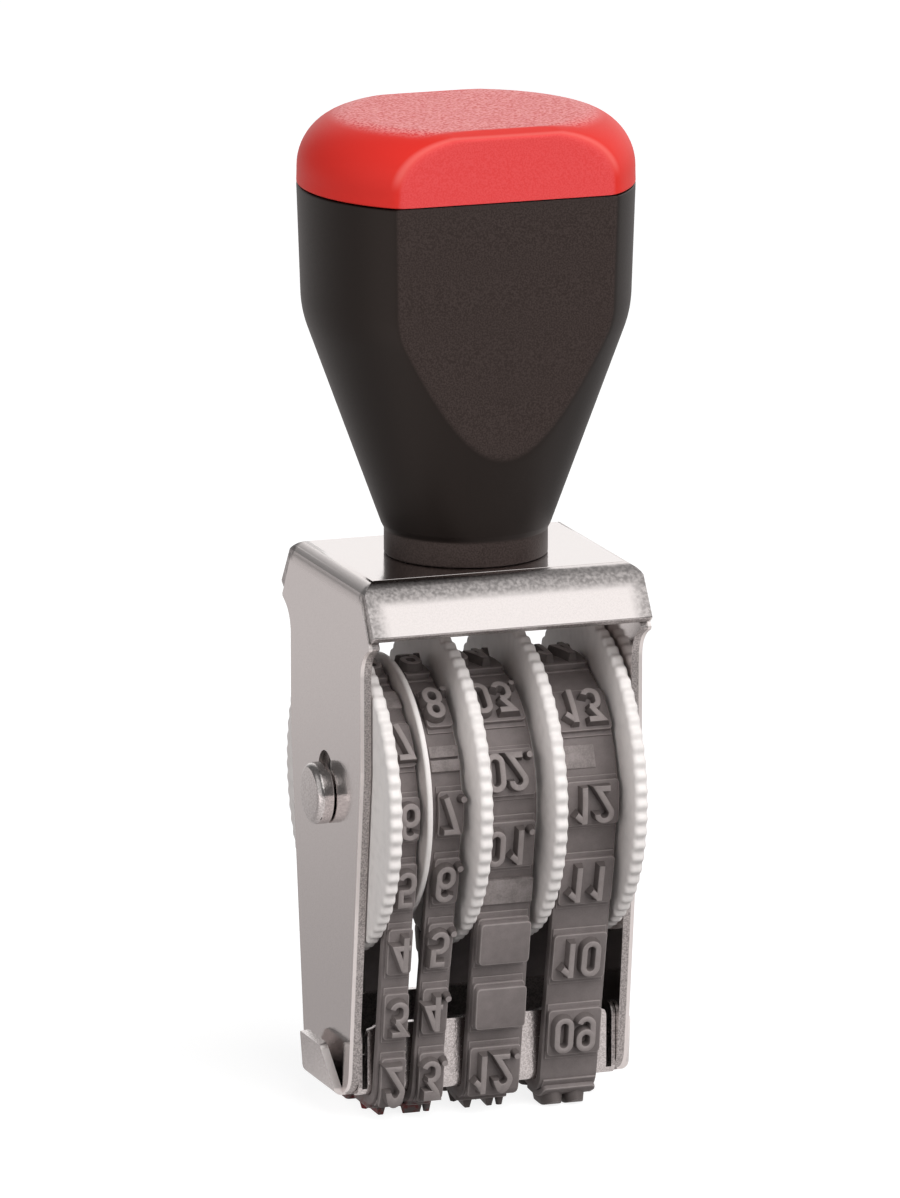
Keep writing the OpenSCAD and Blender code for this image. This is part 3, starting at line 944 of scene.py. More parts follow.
@dataclass
class Grip:
    """The moulded grip and its cap: a turned form with two drafted flats.

    Heights count from the grip's foot. Past far_past times its softness, a flat's border is straight.
    """

    foot_z: float = 55.0
    collar_r: float = 8.0
    collar_h: float = 2.5
    cone_r: float = 8.3
    cone_z: float = 3.1
    shoulder_r: float = 16.0
    shoulder_z: float = 24.2
    joint_r: float = 16.43
    joint_z: float = 36.7
    cap_r: float = 16.4
    top_z: float = 43.65
    edge_r: float = 5.38
    crown_half: float = 10.5
    crown_slope: float = 17.0
    flat_half: float = 12.0
    flat_draft: float = 1.5
    flat_soft: float = 0.13
    cap_soft: float = 0.28
    joint_gap: float = 0.12
    joint_edge: float = 0.15
    foot_gap: float = 0.02
    foot_edge: float = 0.2
    collar_edge: float = 0.3
    cone_edge: float = 0.5
    shoulder_bend: float = 11.0
    cap_rise: float = 1.0
    cap_edge: float = 0.5
    cap_crease: float = 12.0
    grip_step: float = 0.6
    cap_step: float = 0.3
    arc_steps: int = 16
    steps: int = 288
    far_past: float = 30.0

    def flatten(self, bm: BMesh, soft: float) -> None:
        """Presses the two flats into a turned form, with soft borders.

        Args:
            bm: The form, with its foot at Z = 0.
            soft: How soft the borders are.
        """
        slope = math.tan(math.radians(self.flat_draft))
        for vert in bm.verts:
            half = self.flat_half + (vert.co.z - self.joint_z) * slope
            past = (abs(vert.co.y) - half) / soft
            give = soft * (past if past > self.far_past else math.log1p(math.exp(past)))
            vert.co.y = math.copysign(abs(vert.co.y) - give, vert.co.y)

    def turned(self, corners: Sequence[Corner], step: float) -> BMesh:
        """Turns an outline round the stamp's axis.

        Args:
            corners: The outline's corners as radius, height and rounding.
            step: The longest step along the outline.

        Returns:
            The form, with its foot at Z = 0.
        """
        bm = bmesh.new()
        points = rounded(corners, closed=False, arc_steps=self.arc_steps)
        edges = chain(bm, [Vector((r, 0, z)) for r, z in points])
        for edge in list(edges):
            cuts = int(edge.calc_length() / step)
            if cuts:
                bmesh.ops.subdivide_edges(bm, edges=[edge], cuts=cuts)
        spin_full(bm, list(bm.edges), Vector((0, 0, 1)), self.steps)
        return bm

    def crown(self, bm: BMesh) -> None:
        """Slopes the cap's top from two straight creases down to the flats.

        Args:
            bm: The cap, with the grip's foot at Z = 0.
        """
        slope = math.tan(math.radians(self.crown_slope))
        for side in (-1, 1):
            bmesh.ops.bisect_plane(
                bm,
                geom=[*bm.verts, *bm.edges, *bm.faces],
                dist=WELD,
                plane_co=Vector((0, side * self.crown_half, 0)),
                plane_no=Vector((0, 1, 0)),
            )
        for vert in bm.verts:
            past = abs(vert.co.y) - self.crown_half
            if past > 0:
                vert.co.z = min(vert.co.z, self.top_z - past * slope)

    def build(self, bench: Bench) -> None:
        """Makes the grip and the cap.

        Args:
            bench: The bench that makes the pieces.
        """
        high = self.joint_z - self.joint_gap / 2
        corners = [
            (0, self.foot_gap, 0),
            (self.collar_r, self.foot_gap, self.foot_edge),
            (self.collar_r, self.collar_h, self.collar_edge),
            (self.cone_r, self.cone_z, self.cone_edge),
            (self.shoulder_r, self.shoulder_z, self.shoulder_bend),
            (self.joint_r, high, self.joint_edge),
            (0, high, 0),
        ]
        grip = self.turned(corners, self.grip_step)
        self.flatten(grip, self.flat_soft)
        raise_mesh(grip, self.foot_z)
        bench.piece(grip, "grip", Finishes.GRIP, replaces=["handle"])
        low = self.joint_z + self.joint_gap / 2
        corners = [
            (0, low, 0),
            (self.joint_r, low, self.joint_edge),
            (self.cap_r, low + self.cap_rise, self.cap_edge),
            (self.cap_r, self.top_z, self.edge_r),
            (0, self.top_z, 0),
        ]
        cap = self.turned(corners, self.cap_step)
        self.crown(cap)
        self.flatten(cap, self.cap_soft)
        raise_mesh(cap, self.foot_z)
        bench.piece(
            cap, "cap", Finishes.CAP, replaces=["handle_cap"], crease=self.cap_crease
        )
        bench.dress("handle_screw", Finishes.ZINC)
        bench.dress("lock_washer", Finishes.ZINC)


@dataclass
class SteelWork:
    """The bent frame, the platen and the axle.

    The shares along, inward, upward and across tell by its normal where a face looks.
    """

    axle_r: float = 2.1
    head_r: float = 3.05
    head_t: float = 1.65
    head_edge: float = 0.7
    back_edge: float = 0.1
    head_x: float = 14.62
    head_crease: float = 25.0
    axle_steps: int = 72
    arc_steps: int = 8
    sheet_edge: float = 0.2
    plate_x: Point = (13.4, 14.5)
    plate_top: float = 52.5
    flange_z: float = 50.2
    flange_x: float = 14.0
    flange_y: float = 9.6
    flange_top: float = 55.0
    flange_slope: float = 0.6875
    flange_edge: float = 0.45
    flange_band: float = 0.8
    flange_out: float = 12.0
    skin: float = 0.1
    along: float = 0.3
    platen_in: float = 5.6
    platen_floor: float = 3.6
    tab_x: float = 12.5
    tab_far: float = 13.25
    tab_root: float = 0.7
    tab_reach: Point = (0.3, 0.4)
    inward: float = 0.9
    upward: float = 0.5
    across: float = 0.6

    def build(self, bench: Bench) -> None:
        """Makes the steel pieces.

        Args:
            bench: The bench that makes the pieces.
        """
        for node in ("frame", "platen"):
            bm = bench.softened(node, self.sheet_edge, self.flange_ends, self.flange_edge)
            if node == "frame":
                self.mark_cut_edges(bm)
            else:
                self.open_corner(bm)
                self.mark_inside(bm)
            bench.piece(
                bm,
                f"{node}_sheet",
                Finishes.STEEL if node == "frame" else Finishes.PLATEN,
                replaces=[node],
                weighted=True,
                others=[Finishes.SHEARED, Finishes.PAINTED_SHADE],
            )
        self.build_axle(bench)

    def flange_ends(self, line: BMEdge) -> bool:
        """Tells the outer edges at the ends of the two sloped flanges.

        Args:
            line: The edge.

        Returns:
            Whether it is one of them.
        """
        return all(
            abs(vert.co.x) > self.flange_x
            and vert.co.z > self.flange_z - self.skin
            and abs(vert.co.y) > self.flange_y + (self.flange_top - vert.co.z) * self.flange_slope
            for vert in line.verts
        )

    def mark_cut_edges(self, bm: BMesh) -> None:
        """Marks the sheared edges of the side plates and the flanges.

        Args:
            bm: The frame's mesh.
        """
        inner, outer = self.plate_x
        for face in bm.faces:
            at, normal = face.calc_center_median(), face.normal
            in_sheet = inner + self.skin < abs(at.x) < outer - self.skin
            plate_edge = in_sheet and abs(normal.x) < self.along and at.z < self.plate_top
            low = normal.z < -self.along and abs(at.z - self.flange_z) < self.flange_band
            flange_edge = low and abs(at.y) > self.flange_out
            face.material_index = SHEARED_FACES if plate_edge or flange_edge else 0

    def open_corner(self, bm: BMesh) -> None:
        """Thins the platen's corner tabs beside the plates.

        Args:
            bm: The platen's mesh.
        """
        inner, outer = self.tab_reach
        for vert in bm.verts:
            x = abs(vert.co.x)
            if x < self.tab_x - self.tab_root:
                continue
            far = x + (inner if x < self.tab_x - self.skin else outer)
            vert.co.x = math.copysign(max(min(far, self.tab_far), x), vert.co.x)

    def mark_inside(self, bm: BMesh) -> None:
        """Marks the inside of the platen, which takes a dark, rough plate as painted shade.

        Args:
            bm: The platen's mesh.
        """
        for face in bm.faces:
            at, normal = face.calc_center_median(), face.normal
            wall = abs(at.y) < self.platen_in and normal.y * at.y < -self.inward * abs(at.y)
            floor = normal.z > self.upward and at.z < self.platen_floor
            tab_edge = abs(at.x) > self.tab_x and abs(normal.y) > self.across
            web = self.tab_x < abs(at.x) < self.tab_far and at.z < self.platen_floor
            rest = SHEARED_FACES if tab_edge else 0
            # The inside walls, the floor and the corner webs take the painted shade.
            face.material_index = PAINTED_SHADE_FACES if wall or floor or web else rest

    def build_axle(self, bench: Bench) -> None:
        """Turns the axle with its two heads.

        Args:
            bench: The bench that makes the pieces.
        """
        end = self.head_x + self.head_t
        half = [
            (end, 0, 0),
            (end, self.head_r, self.head_edge),
            (self.head_x, self.head_r, self.back_edge),
            (self.head_x, self.axle_r, 0),
        ]
        corners = [(-x, r, edge) for x, r, edge in half] + half[::-1]
        bm = turned_on_axle(corners, self.axle_steps, closed=False, arc_steps=self.arc_steps)
        raise_mesh(bm, AXLE_Z)
        bench.piece(
            bm,
            "axle_pin",
            Finishes.AXLE,
            replaces=["axle"],
            crease=self.head_crease,
            weighted=True,
        )


@dataclass
class WheelRow:
    """One station on the axle.

    Attributes:
        node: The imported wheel.
        body: The body it rides on.
        start: Where the wheel starts along the axle.
        drum_w: Its drum's width.
        drum_after_rim: Whether the drum lies to the right of the rim.
    """

    node: str
    body: str
    start: float
    drum_w: float
    drum_after_rim: bool


@dataclass
class Wheels:
    """The serrated setting wheels and the plain separator disc."""

    rows: Sequence[WheelRow]
    bore_r: float = 2.16
    rim_r: float = 15.8
    rim_t: float = 1.3
    rim_edge: float = 0.42
    teeth: int = 69
    tooth_h: float = 0.26
    tooth_steps: int = 8
    tooth_root: float = 0.4
    crease: float = 50.0
    drum_r: float = 10.2
    drum_edge: float = 0.1
    drum_wall: float = 1.3
    hub_r: float = 4.2
    separator_x: float = -8.65
    separator_r: float = 13.3
    separator_t: float = 0.6
    separator_edge: float = 0.2
    separator_steps: int = 180

    def serrate(self, bm: BMesh) -> None:
        """Presses round teeth into the rim.

        Args:
            bm: The wheel, with the axle at Z = 0.
        """
        for vert in bm.verts:
            radius = math.hypot(vert.co.y, vert.co.z)
            if radius < self.rim_r - self.rim_edge - self.tooth_root:
                continue
            angle = math.atan2(vert.co.z, vert.co.y)
            depth = self.tooth_h * (0.5 + 0.5 * math.cos(angle * self.teeth))
            share = max(0.0, (radius - depth) / radius)
            vert.co.y *= share
            vert.co.z *= share

    def build_wheel(self, bench: Bench, row: WheelRow) -> None:
        """Makes one setting wheel.

        Args:
            bench: The bench that makes the pieces.
            row: The wheel's station.
        """
        t, end = self.rim_t, self.rim_t + row.drum_w
        inner = self.drum_r - self.drum_wall
        outline = [
            (0, self.bore_r, 0),
            (0, self.rim_r, self.rim_edge),
            (t, self.rim_r, self.rim_edge),
            (t, self.drum_r, self.drum_edge),
            (end, self.drum_r, self.drum_edge),
            (end, inner, 0),
            (t, inner, 0),
            (t, self.hub_r, 0),
            (end, self.hub_r, 0),
            (end, self.bore_r, 0),
        ]
        corners = [
            (row.start + (x if row.drum_after_rim else end - x), r, edge) for x, r, edge in outline
        ]
        bm = turned_on_axle(corners, self.teeth * self.tooth_steps)
        self.serrate(bm)
        raise_mesh(bm, AXLE_Z)
        name = f"{row.body}_rim"
        bench.piece(bm, name, Finishes.WHEEL, row.body, [row.node], self.crease)

    def build_separator(self, bench: Bench) -> None:
        """Makes the plain disc between the two day bands.

        Args:
            bench: The bench that makes the pieces.
        """
        x0, x1 = self.separator_x, self.separator_x + self.separator_t
        corners = [
            (x0, self.bore_r, 0),
            (x0, self.separator_r, self.separator_edge),
            (x1, self.separator_r, self.separator_edge),
            (x1, self.bore_r, 0),
        ]
        bm = turned_on_axle(corners, self.separator_steps)
        raise_mesh(bm, AXLE_Z)
        nodes = ["separator_disc"]
        bench.piece(bm, "separator_plate", Finishes.WHEEL, "separator", nodes)

    def build(self, bench: Bench) -> None:
        """Makes all wheels.

        Args:
            bench: The bench that makes the pieces.
        """
        for row in self.rows:
            self.build_wheel(bench, row)
        self.build_separator(bench)


@dataclass(frozen=True)
class Line:
    """A straight stroke of the pen."""

    length: float


@dataclass(frozen=True)
class Arc:
    """A round stroke of the pen, positive to the left, in degrees."""

    radius: float
    turn: float


@dataclass(frozen=True)
class Bend:
    """A sharp corner of the pen, positive to the left, in degrees."""

    turn: float


@dataclass(frozen=True)
class Stroke:
    """One pen stroke: where it starts, its first heading in degrees and its moves."""

    start: Point
    heading: float
    moves: tuple[Line | Arc | Bend, ...]
    closed: bool = False


@dataclass
class Digits:
    """Narrow numerals with square ends, as pen strokes.

    Most places in a stroke are shares of the numeral's width w and height h.
    """

    width: float = 1.4
    height: float = 3.16
    waist: float = 0.57
    over: float = 0.22
    hook: float = -160.0
    nose: float = 0.75
    flag_gap: float = 0.24
    least: float = 0.001
    gap: float = 0.88
    dot_at: Point = (-0.22, 0.05)
    dot_room: float = 0.75

    def loop(self, low: float, high: float, radius: float) -> Stroke:
        """Gives an upright loop with round ends.

        Args:
            low: Its lowest point.
            high: Its highest point.
            radius: Half its width.

        Returns:
            The closed stroke.
        """
        side = Line(max(high - low - 2 * radius, self.least))
        half = Arc(radius, 180)
        start = (self.width / 2 + radius, low + radius)
        return Stroke(start, 90, (side, half, side, half), True)

    def bowl(self, left: float) -> tuple[Line | Arc, ...]:
        """Gives the open bowl of a three or a five.

        Args:
            left: Where it starts, to the right of the numeral's left side.

        Returns:
            Its moves, rightwards and round.
        """
        r = self.width / 2
        top = self.height * self.waist
        return (Line(self.width - r - left), Arc(r, -90), Line(top - 2 * r), Arc(r, self.hook))

    def path(self, *points: Point) -> Stroke:
        """Gives a stroke with sharp corners.

        Args:
            points: The points that it runs through.

        Returns:
            The stroke.
        """
        legs = [Vector(b) - Vector(a) for a, b in zip(points, points[1:])]
        headings = [math.degrees(math.atan2(leg.y, leg.x)) for leg in legs]
        moves: list[Line | Arc | Bend] = [Line(legs[0].length)]
        for leg, old, new in zip(legs[1:], headings, headings[1:]):
            moves += [Bend((new - old + 180) % 360 - 180), Line(leg.length)]
        return Stroke(points[0], headings[0], tuple(moves))

    def strokes(self, mark: str) -> list[Stroke]:
        """Gives a numeral's strokes, from its lower left corner.

        Args:
            mark: The numeral, or a point.

        Returns:
            The strokes.
        """
        w, h, r = self.width, self.height, self.width / 2
        foot, head = -self.over, h + self.over
        waist = h * self.waist
        lean = 2 * math.degrees(math.atan(r / (h - r)))
        knee = self.path((0.04 * w, h), (w, h), (0.36 * w, waist))
        flag = self.path((0.95 * w, h), (0.1 * w, h), (0.1 * w, waist - self.flag_gap))
        table: dict[str, list[Stroke]] = {
            "0": [self.loop(0, h, r)],
            "1": [
                self.path((0.68 * w, foot), (0.68 * w, head)),
                self.path((0.68 * w, h), (0.06 * w, h - self.nose)),
            ],
            "2": [
                Stroke(
                    (0, h - r),
                    90,
                    (Arc(r, -180 - lean), Line(h - r), Bend(90 + lean), Line(0.92 * w)),
                )
            ],
            "3": [knee, Stroke((0.28 * w, waist), 0, self.bowl(0.28 * w))],
            "4": [
                self.path((0.74 * w, foot), (0.74 * w, head)),
                self.path((0.66 * w, h), (0, 0.28 * h), (1.1 * w, 0.28 * h)),
            ],
            "5": [flag, Stroke((0, waist), 0, self.bowl(0))],
            "6": [
                self.loop(0, waist, r),
                Stroke((0, waist - r), 90, (Line(h - waist), Arc(r, self.hook))),
            ],
            "7": [self.path((0.05 * w, h), (w, h), (0.2 * w, foot))],
            "8": [self.loop(0, 0.53 * h, r), self.loop(0.53 * h, h, 0.93 * r)],
            "9": [
                self.loop(h - waist, h, r),
                Stroke((w, h - waist + r), -90, (Line(h - waist), Arc(r, self.hook))),
            ],
            ".": [Stroke(self.dot_at, 0, ())],
        }
        return table[mark]

    def advance(self, mark: str) -> float:
        """Gives the room that a numeral takes along the line."""
        return self.dot_room if mark == "." else self.width + self.gap


@dataclass
class Pen:
    """Draws strokes as raised ridges with a flat crest, tapered sides and square ends."""

    crest: float = 0.54
    taper: float = 0.2
    relief: float = 0.9
    sink: float = 0.15
    edge: float = 0.05
    dot: float = 0.3
    dot_steps: int = 20
    arc_step: float = 12.0
    arc_least: int = 3

    def section(self) -> list[Point]:
        """Gives the ridge's section.

        Returns:
            Its corners from the right foot to the left foot, as distance and height.
        """
        half = [
            (self.crest / 2 + self.taper * (self.relief + self.sink), -self.sink),
            (self.crest / 2 + self.taper * self.edge, self.relief - self.edge),
            (self.crest / 2 - self.edge, self.relief),
        ]
        return [(-d, z) for d, z in half] + [(d, z) for d, z in reversed(half)]

    def trim(
        self, row: Sequence[BMVert], at: Vector, ahead: Vector, turn: float, end: float
    ) -> None:
        """Slides a row of the ridge along its heading into a corner's plane or an end's slope.

        Args:
            row: The row's vertices.
            at: The corner or the end on the pen's line.
            ahead: The heading.
            turn: The corner's turn, in radians.
            end: 1 where the stroke ends, -1 where it starts and 0 at a corner.
        """
        left = Vector((-ahead.y, ahead.x, 0))
        for vert in row:
            off = vert.co - at
            along = end * self.taper * (self.relief - vert.co.z) - off.dot(left) * math.tan(turn / 2)
            vert.co += ahead * (along - off.dot(ahead))

    def draw(self, bm: BMesh, stroke: Stroke, origin: Point) -> None:
        """Draws one stroke.

        Args:
            bm: The mesh to draw in, with the platform's top at Z = 0.
            stroke: The stroke.
            origin: Where the numeral's lower left corner is.
        """
        at = Vector((origin[0] + stroke.start[0], origin[1] + stroke.start[1], 0))
        if not stroke.moves:
            self.draw_dot(bm, at)
            return
        up = Vector((0, 0, 1))
        heading = math.radians(stroke.heading)
        ahead = Vector((math.cos(heading), math.sin(heading), 0))
        left = up.cross(ahead)
        ring = [at + left * d + up * z for d, z in self.section()]
        sweep = Sweep(bm, chain(bm, ring, closed=True))
        if not stroke.closed:
            self.trim(ends_of(sweep.edges), at, ahead, 0, -1)
        for here, after in zip(stroke.moves, (*stroke.moves[1:], None)):
            if isinstance(here, Bend):
                heading += math.radians(here.turn)
            elif isinstance(here, Line):
                sweep.move(ahead * here.length)
                at += ahead * here.length
                turn = math.radians(after.turn) if isinstance(after, Bend) else 0
                self.trim(ends_of(sweep.edges), at, ahead, turn, 0)
            else:
                turn = math.radians(here.turn)
                centre = at + up.cross(ahead) * math.copysign(here.radius, turn)
                steps = max(self.arc_least, round(abs(here.turn) / self.arc_step))
                sweep.turn(centre, up, turn, steps)
                at = centre + Matrix.Rotation(turn, 3, "Z") @ (at - centre)
                heading += turn
            ahead = Vector((math.cos(heading), math.sin(heading), 0))
        if not stroke.closed:
            self.trim(ends_of(sweep.edges), at, ahead, 0, 1)

    def draw_dot(self, bm: BMesh, at: Vector) -> None:
        """Draws a round point.

        Args:
            bm: The mesh to draw in.
            at: The point's middle.
        """
        height = self.relief + self.sink
        made = bmesh.ops.create_cone(
            bm,
            cap_ends=True,
            segments=self.dot_steps,
            radius1=self.dot + self.taper * height,
            radius2=self.dot,
            depth=height,
        )
        middle = Vector((0, 0, height / 2 - self.sink))
        bmesh.ops.translate(bm, vec=at + middle, verts=made["verts"])


@dataclass
class BeltLoop:
    """The path of a band round the platen and its drum, measured from the print line forwards."""

    platen_half: float = 6.3
    platen_r: float = 1.2
    platen_z: float = 2.65
    seat: float = 0.05
    drum_r: float = 10.35
    thick: float = 1.0
    bend_step: float = 0.55
    face: float = 2.2
    edge: float = 0.12
    edge_steps: int = 2
    corner_steps: int = 10
    drum_steps: int = 64

    def __post_init__(self) -> None:
        """Works out the tangents and lengths."""
        self.corner = Vector((-(self.platen_half - self.platen_r), self.platen_z + self.platen_r))
        self.drum = Vector((0, AXLE_Z))
        self.corner_r = self.platen_r + self.seat
        gap = self.drum - self.corner
        grow = self.drum_r - self.corner_r
        self.lean = math.asin(grow / gap.length) - math.atan2(gap.x, gap.y)
        self.flat_len = self.platen_half - self.platen_r
        self.corner_len = (math.pi / 2 - self.lean) * (self.corner_r + self.thick / 2)
        self.run_len = math.sqrt(gap.length_squared - grow * grow)
        self.drum_len = (math.pi / 2 + self.lean) * (self.drum_r + self.thick / 2)
        self.half_len = self.flat_len + self.corner_len + self.run_len + self.drum_len

    def front(self, s: float) -> tuple[Vector, float]:
        """Gives a place on the front half of the loop.

        Args:
            s: The distance from the print line.

        Returns:
            The belt's inner face there in Y and Z, and the angle of its outward direction.
        """
        if s < self.flat_len:
            return Vector((-s, self.platen_z - self.seat)), -math.pi / 2
        s -= self.flat_len
        if s < self.corner_len:
            angle = -math.pi / 2 - s / (self.corner_r + self.thick / 2)
            return self.corner + self.corner_r * Vector((math.cos(angle), math.sin(angle))), angle
        s -= self.corner_len
        angle = self.lean - math.pi
        out = Vector((math.cos(angle), math.sin(angle)))
        if s < self.run_len:
            return self.corner + self.corner_r * out + s * Vector((out.y, -out.x)), angle
        angle -= (s - self.run_len) / (self.drum_r + self.thick / 2)
        return self.drum + self.drum_r * Vector((math.cos(angle), math.sin(angle))), angle

    def locate(self, s: float) -> tuple[Vector, float]:
        """Gives a place anywhere on the loop.

        Args:
            s: The distance from the print line, less than 0 at the rear.

        Returns:
            The belt's inner face there in Y and Z, and the angle of its outward direction.
        """
        s = (s + self.half_len) % (2 * self.half_len) - self.half_len
        at, angle = self.front(abs(s))
        return (at, angle) if s >= 0 else (Vector((-at.x, at.y)), math.pi - angle)

    def lay(self, bm: BMesh, s: float, x: float) -> None:
        """Lays a block on the loop, bent with the belt under it.

        Args:
            bm: The block's mesh, drawn across, down and out from the belt's inner face.
            s: The block's distance from the print line.
            x: Its place along the axle.
        """
        low, high = min(vert.co.y for vert in bm.verts), max(vert.co.y for vert in bm.verts)
        hold = self.hold(s)
        if abs(self.locate(s - low)[1] - self.locate(s - high)[1]) > LEVEL:
            self.slice(bm, low, high)
        for vert in bm.verts:
            at, angle = self.locate(s - vert.co.y * hold)
            at = at + vert.co.z * Vector((math.cos(angle), math.sin(angle)))
            vert.co = Vector((x + vert.co.x, at.x, at.y))

    def hold(self, s: float) -> float:
        """Gives how much belt a block takes for its length: less on the drum, where its face opens.

        Args:
            s: The block's distance from the print line.

        Returns:
            The share.
        """
        along = abs((s + self.half_len) % (2 * self.half_len) - self.half_len)
        on_drum = along > self.half_len - self.drum_len
        return (self.drum_r + self.thick / 2) / (self.drum_r + self.face) if on_drum else 1.0

    def slice(self, bm: BMesh, low: float, high: float) -> None:
        """Cuts a block across, so that it can bend.

        Args:
            bm: The block's mesh.
            low: Where the block starts along the belt.
            high: Where it ends.
        """
        parts = max(2, round((high - low) / self.bend_step))
        for k in range(1, parts):
            bmesh.ops.bisect_plane(
                bm,
                geom=[*bm.verts, *bm.edges, *bm.faces],
                dist=LEVEL,
                plane_co=Vector((0, low + (high - low) * k / parts, 0)),
                plane_no=Vector((0, 1, 0)),
            )

    def draw(self, bm: BMesh, x: float, width: float) -> None:
        """Draws the plain belt.

        Args:
            bm: The mesh to draw in.
            x: The belt's middle along the axle.
            width: The belt's width.
        """
        half, t = width / 2, self.thick
        corners = [(a, h, self.edge) for a, h in ((-half, 0), (half, 0), (half, t), (-half, t))]
        section = rounded(corners, arc_steps=self.edge_steps)
        base = self.platen_z - self.seat
        row = chain(bm, [Vector((x + a, 0, base - h)) for a, h in section], closed=True)
        sweep = Sweep(bm, row)
        axis = Vector((1, 0, 0))
        corner = Vector((0, self.corner.x, self.corner.y))
        drum = Vector((0, 0, AXLE_Z))
        run = Vector((0, -math.sin(self.lean), math.cos(self.lean))) * self.run_len
        turn = math.pi / 2 - self.lean
        sweep.move(Vector((0, -self.flat_len, 0)))
        sweep.turn(corner, axis, -turn, self.corner_steps)
        sweep.move(run)
        sweep.turn(drum, axis, -(math.pi + 2 * self.lean), self.drum_steps)
        sweep.move(Vector((0, run.y, -run.z)))
        sweep.turn(Vector((0, -corner.y, corner.z)), axis, -turn, self.corner_steps)
        sweep.move(Vector((0, -self.flat_len, 0)))


@dataclass(frozen=True)
class Lap:
    """The joint between a band's ends.

    Attributes:
        after: The number of the character before it.
        room: How much further off the next character is for it.
        share: Its share of the band's width.
        height: How far it stands out.
        strips: How many strips it has.
    """

    after: int
    room: float = 3.2
    share: float = 1.0
    height: float = 0.45
    strips: int = 1


@dataclass
class BandRow:
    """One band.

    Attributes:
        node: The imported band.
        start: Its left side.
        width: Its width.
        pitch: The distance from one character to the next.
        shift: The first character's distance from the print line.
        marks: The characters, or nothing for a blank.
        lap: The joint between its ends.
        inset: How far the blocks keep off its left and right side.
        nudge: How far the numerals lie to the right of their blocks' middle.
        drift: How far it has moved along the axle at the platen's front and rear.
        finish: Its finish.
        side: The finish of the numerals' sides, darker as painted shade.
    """

    node: str
    start: float
    width: float
    pitch: float
    shift: float
    marks: Sequence[str]
    lap: Lap
    inset: Point
    nudge: float
    drift: Point
    finish: Finishes = Finishes.RUBBER
    side: Finishes = Finishes.SHADED_TYPE_SIDE


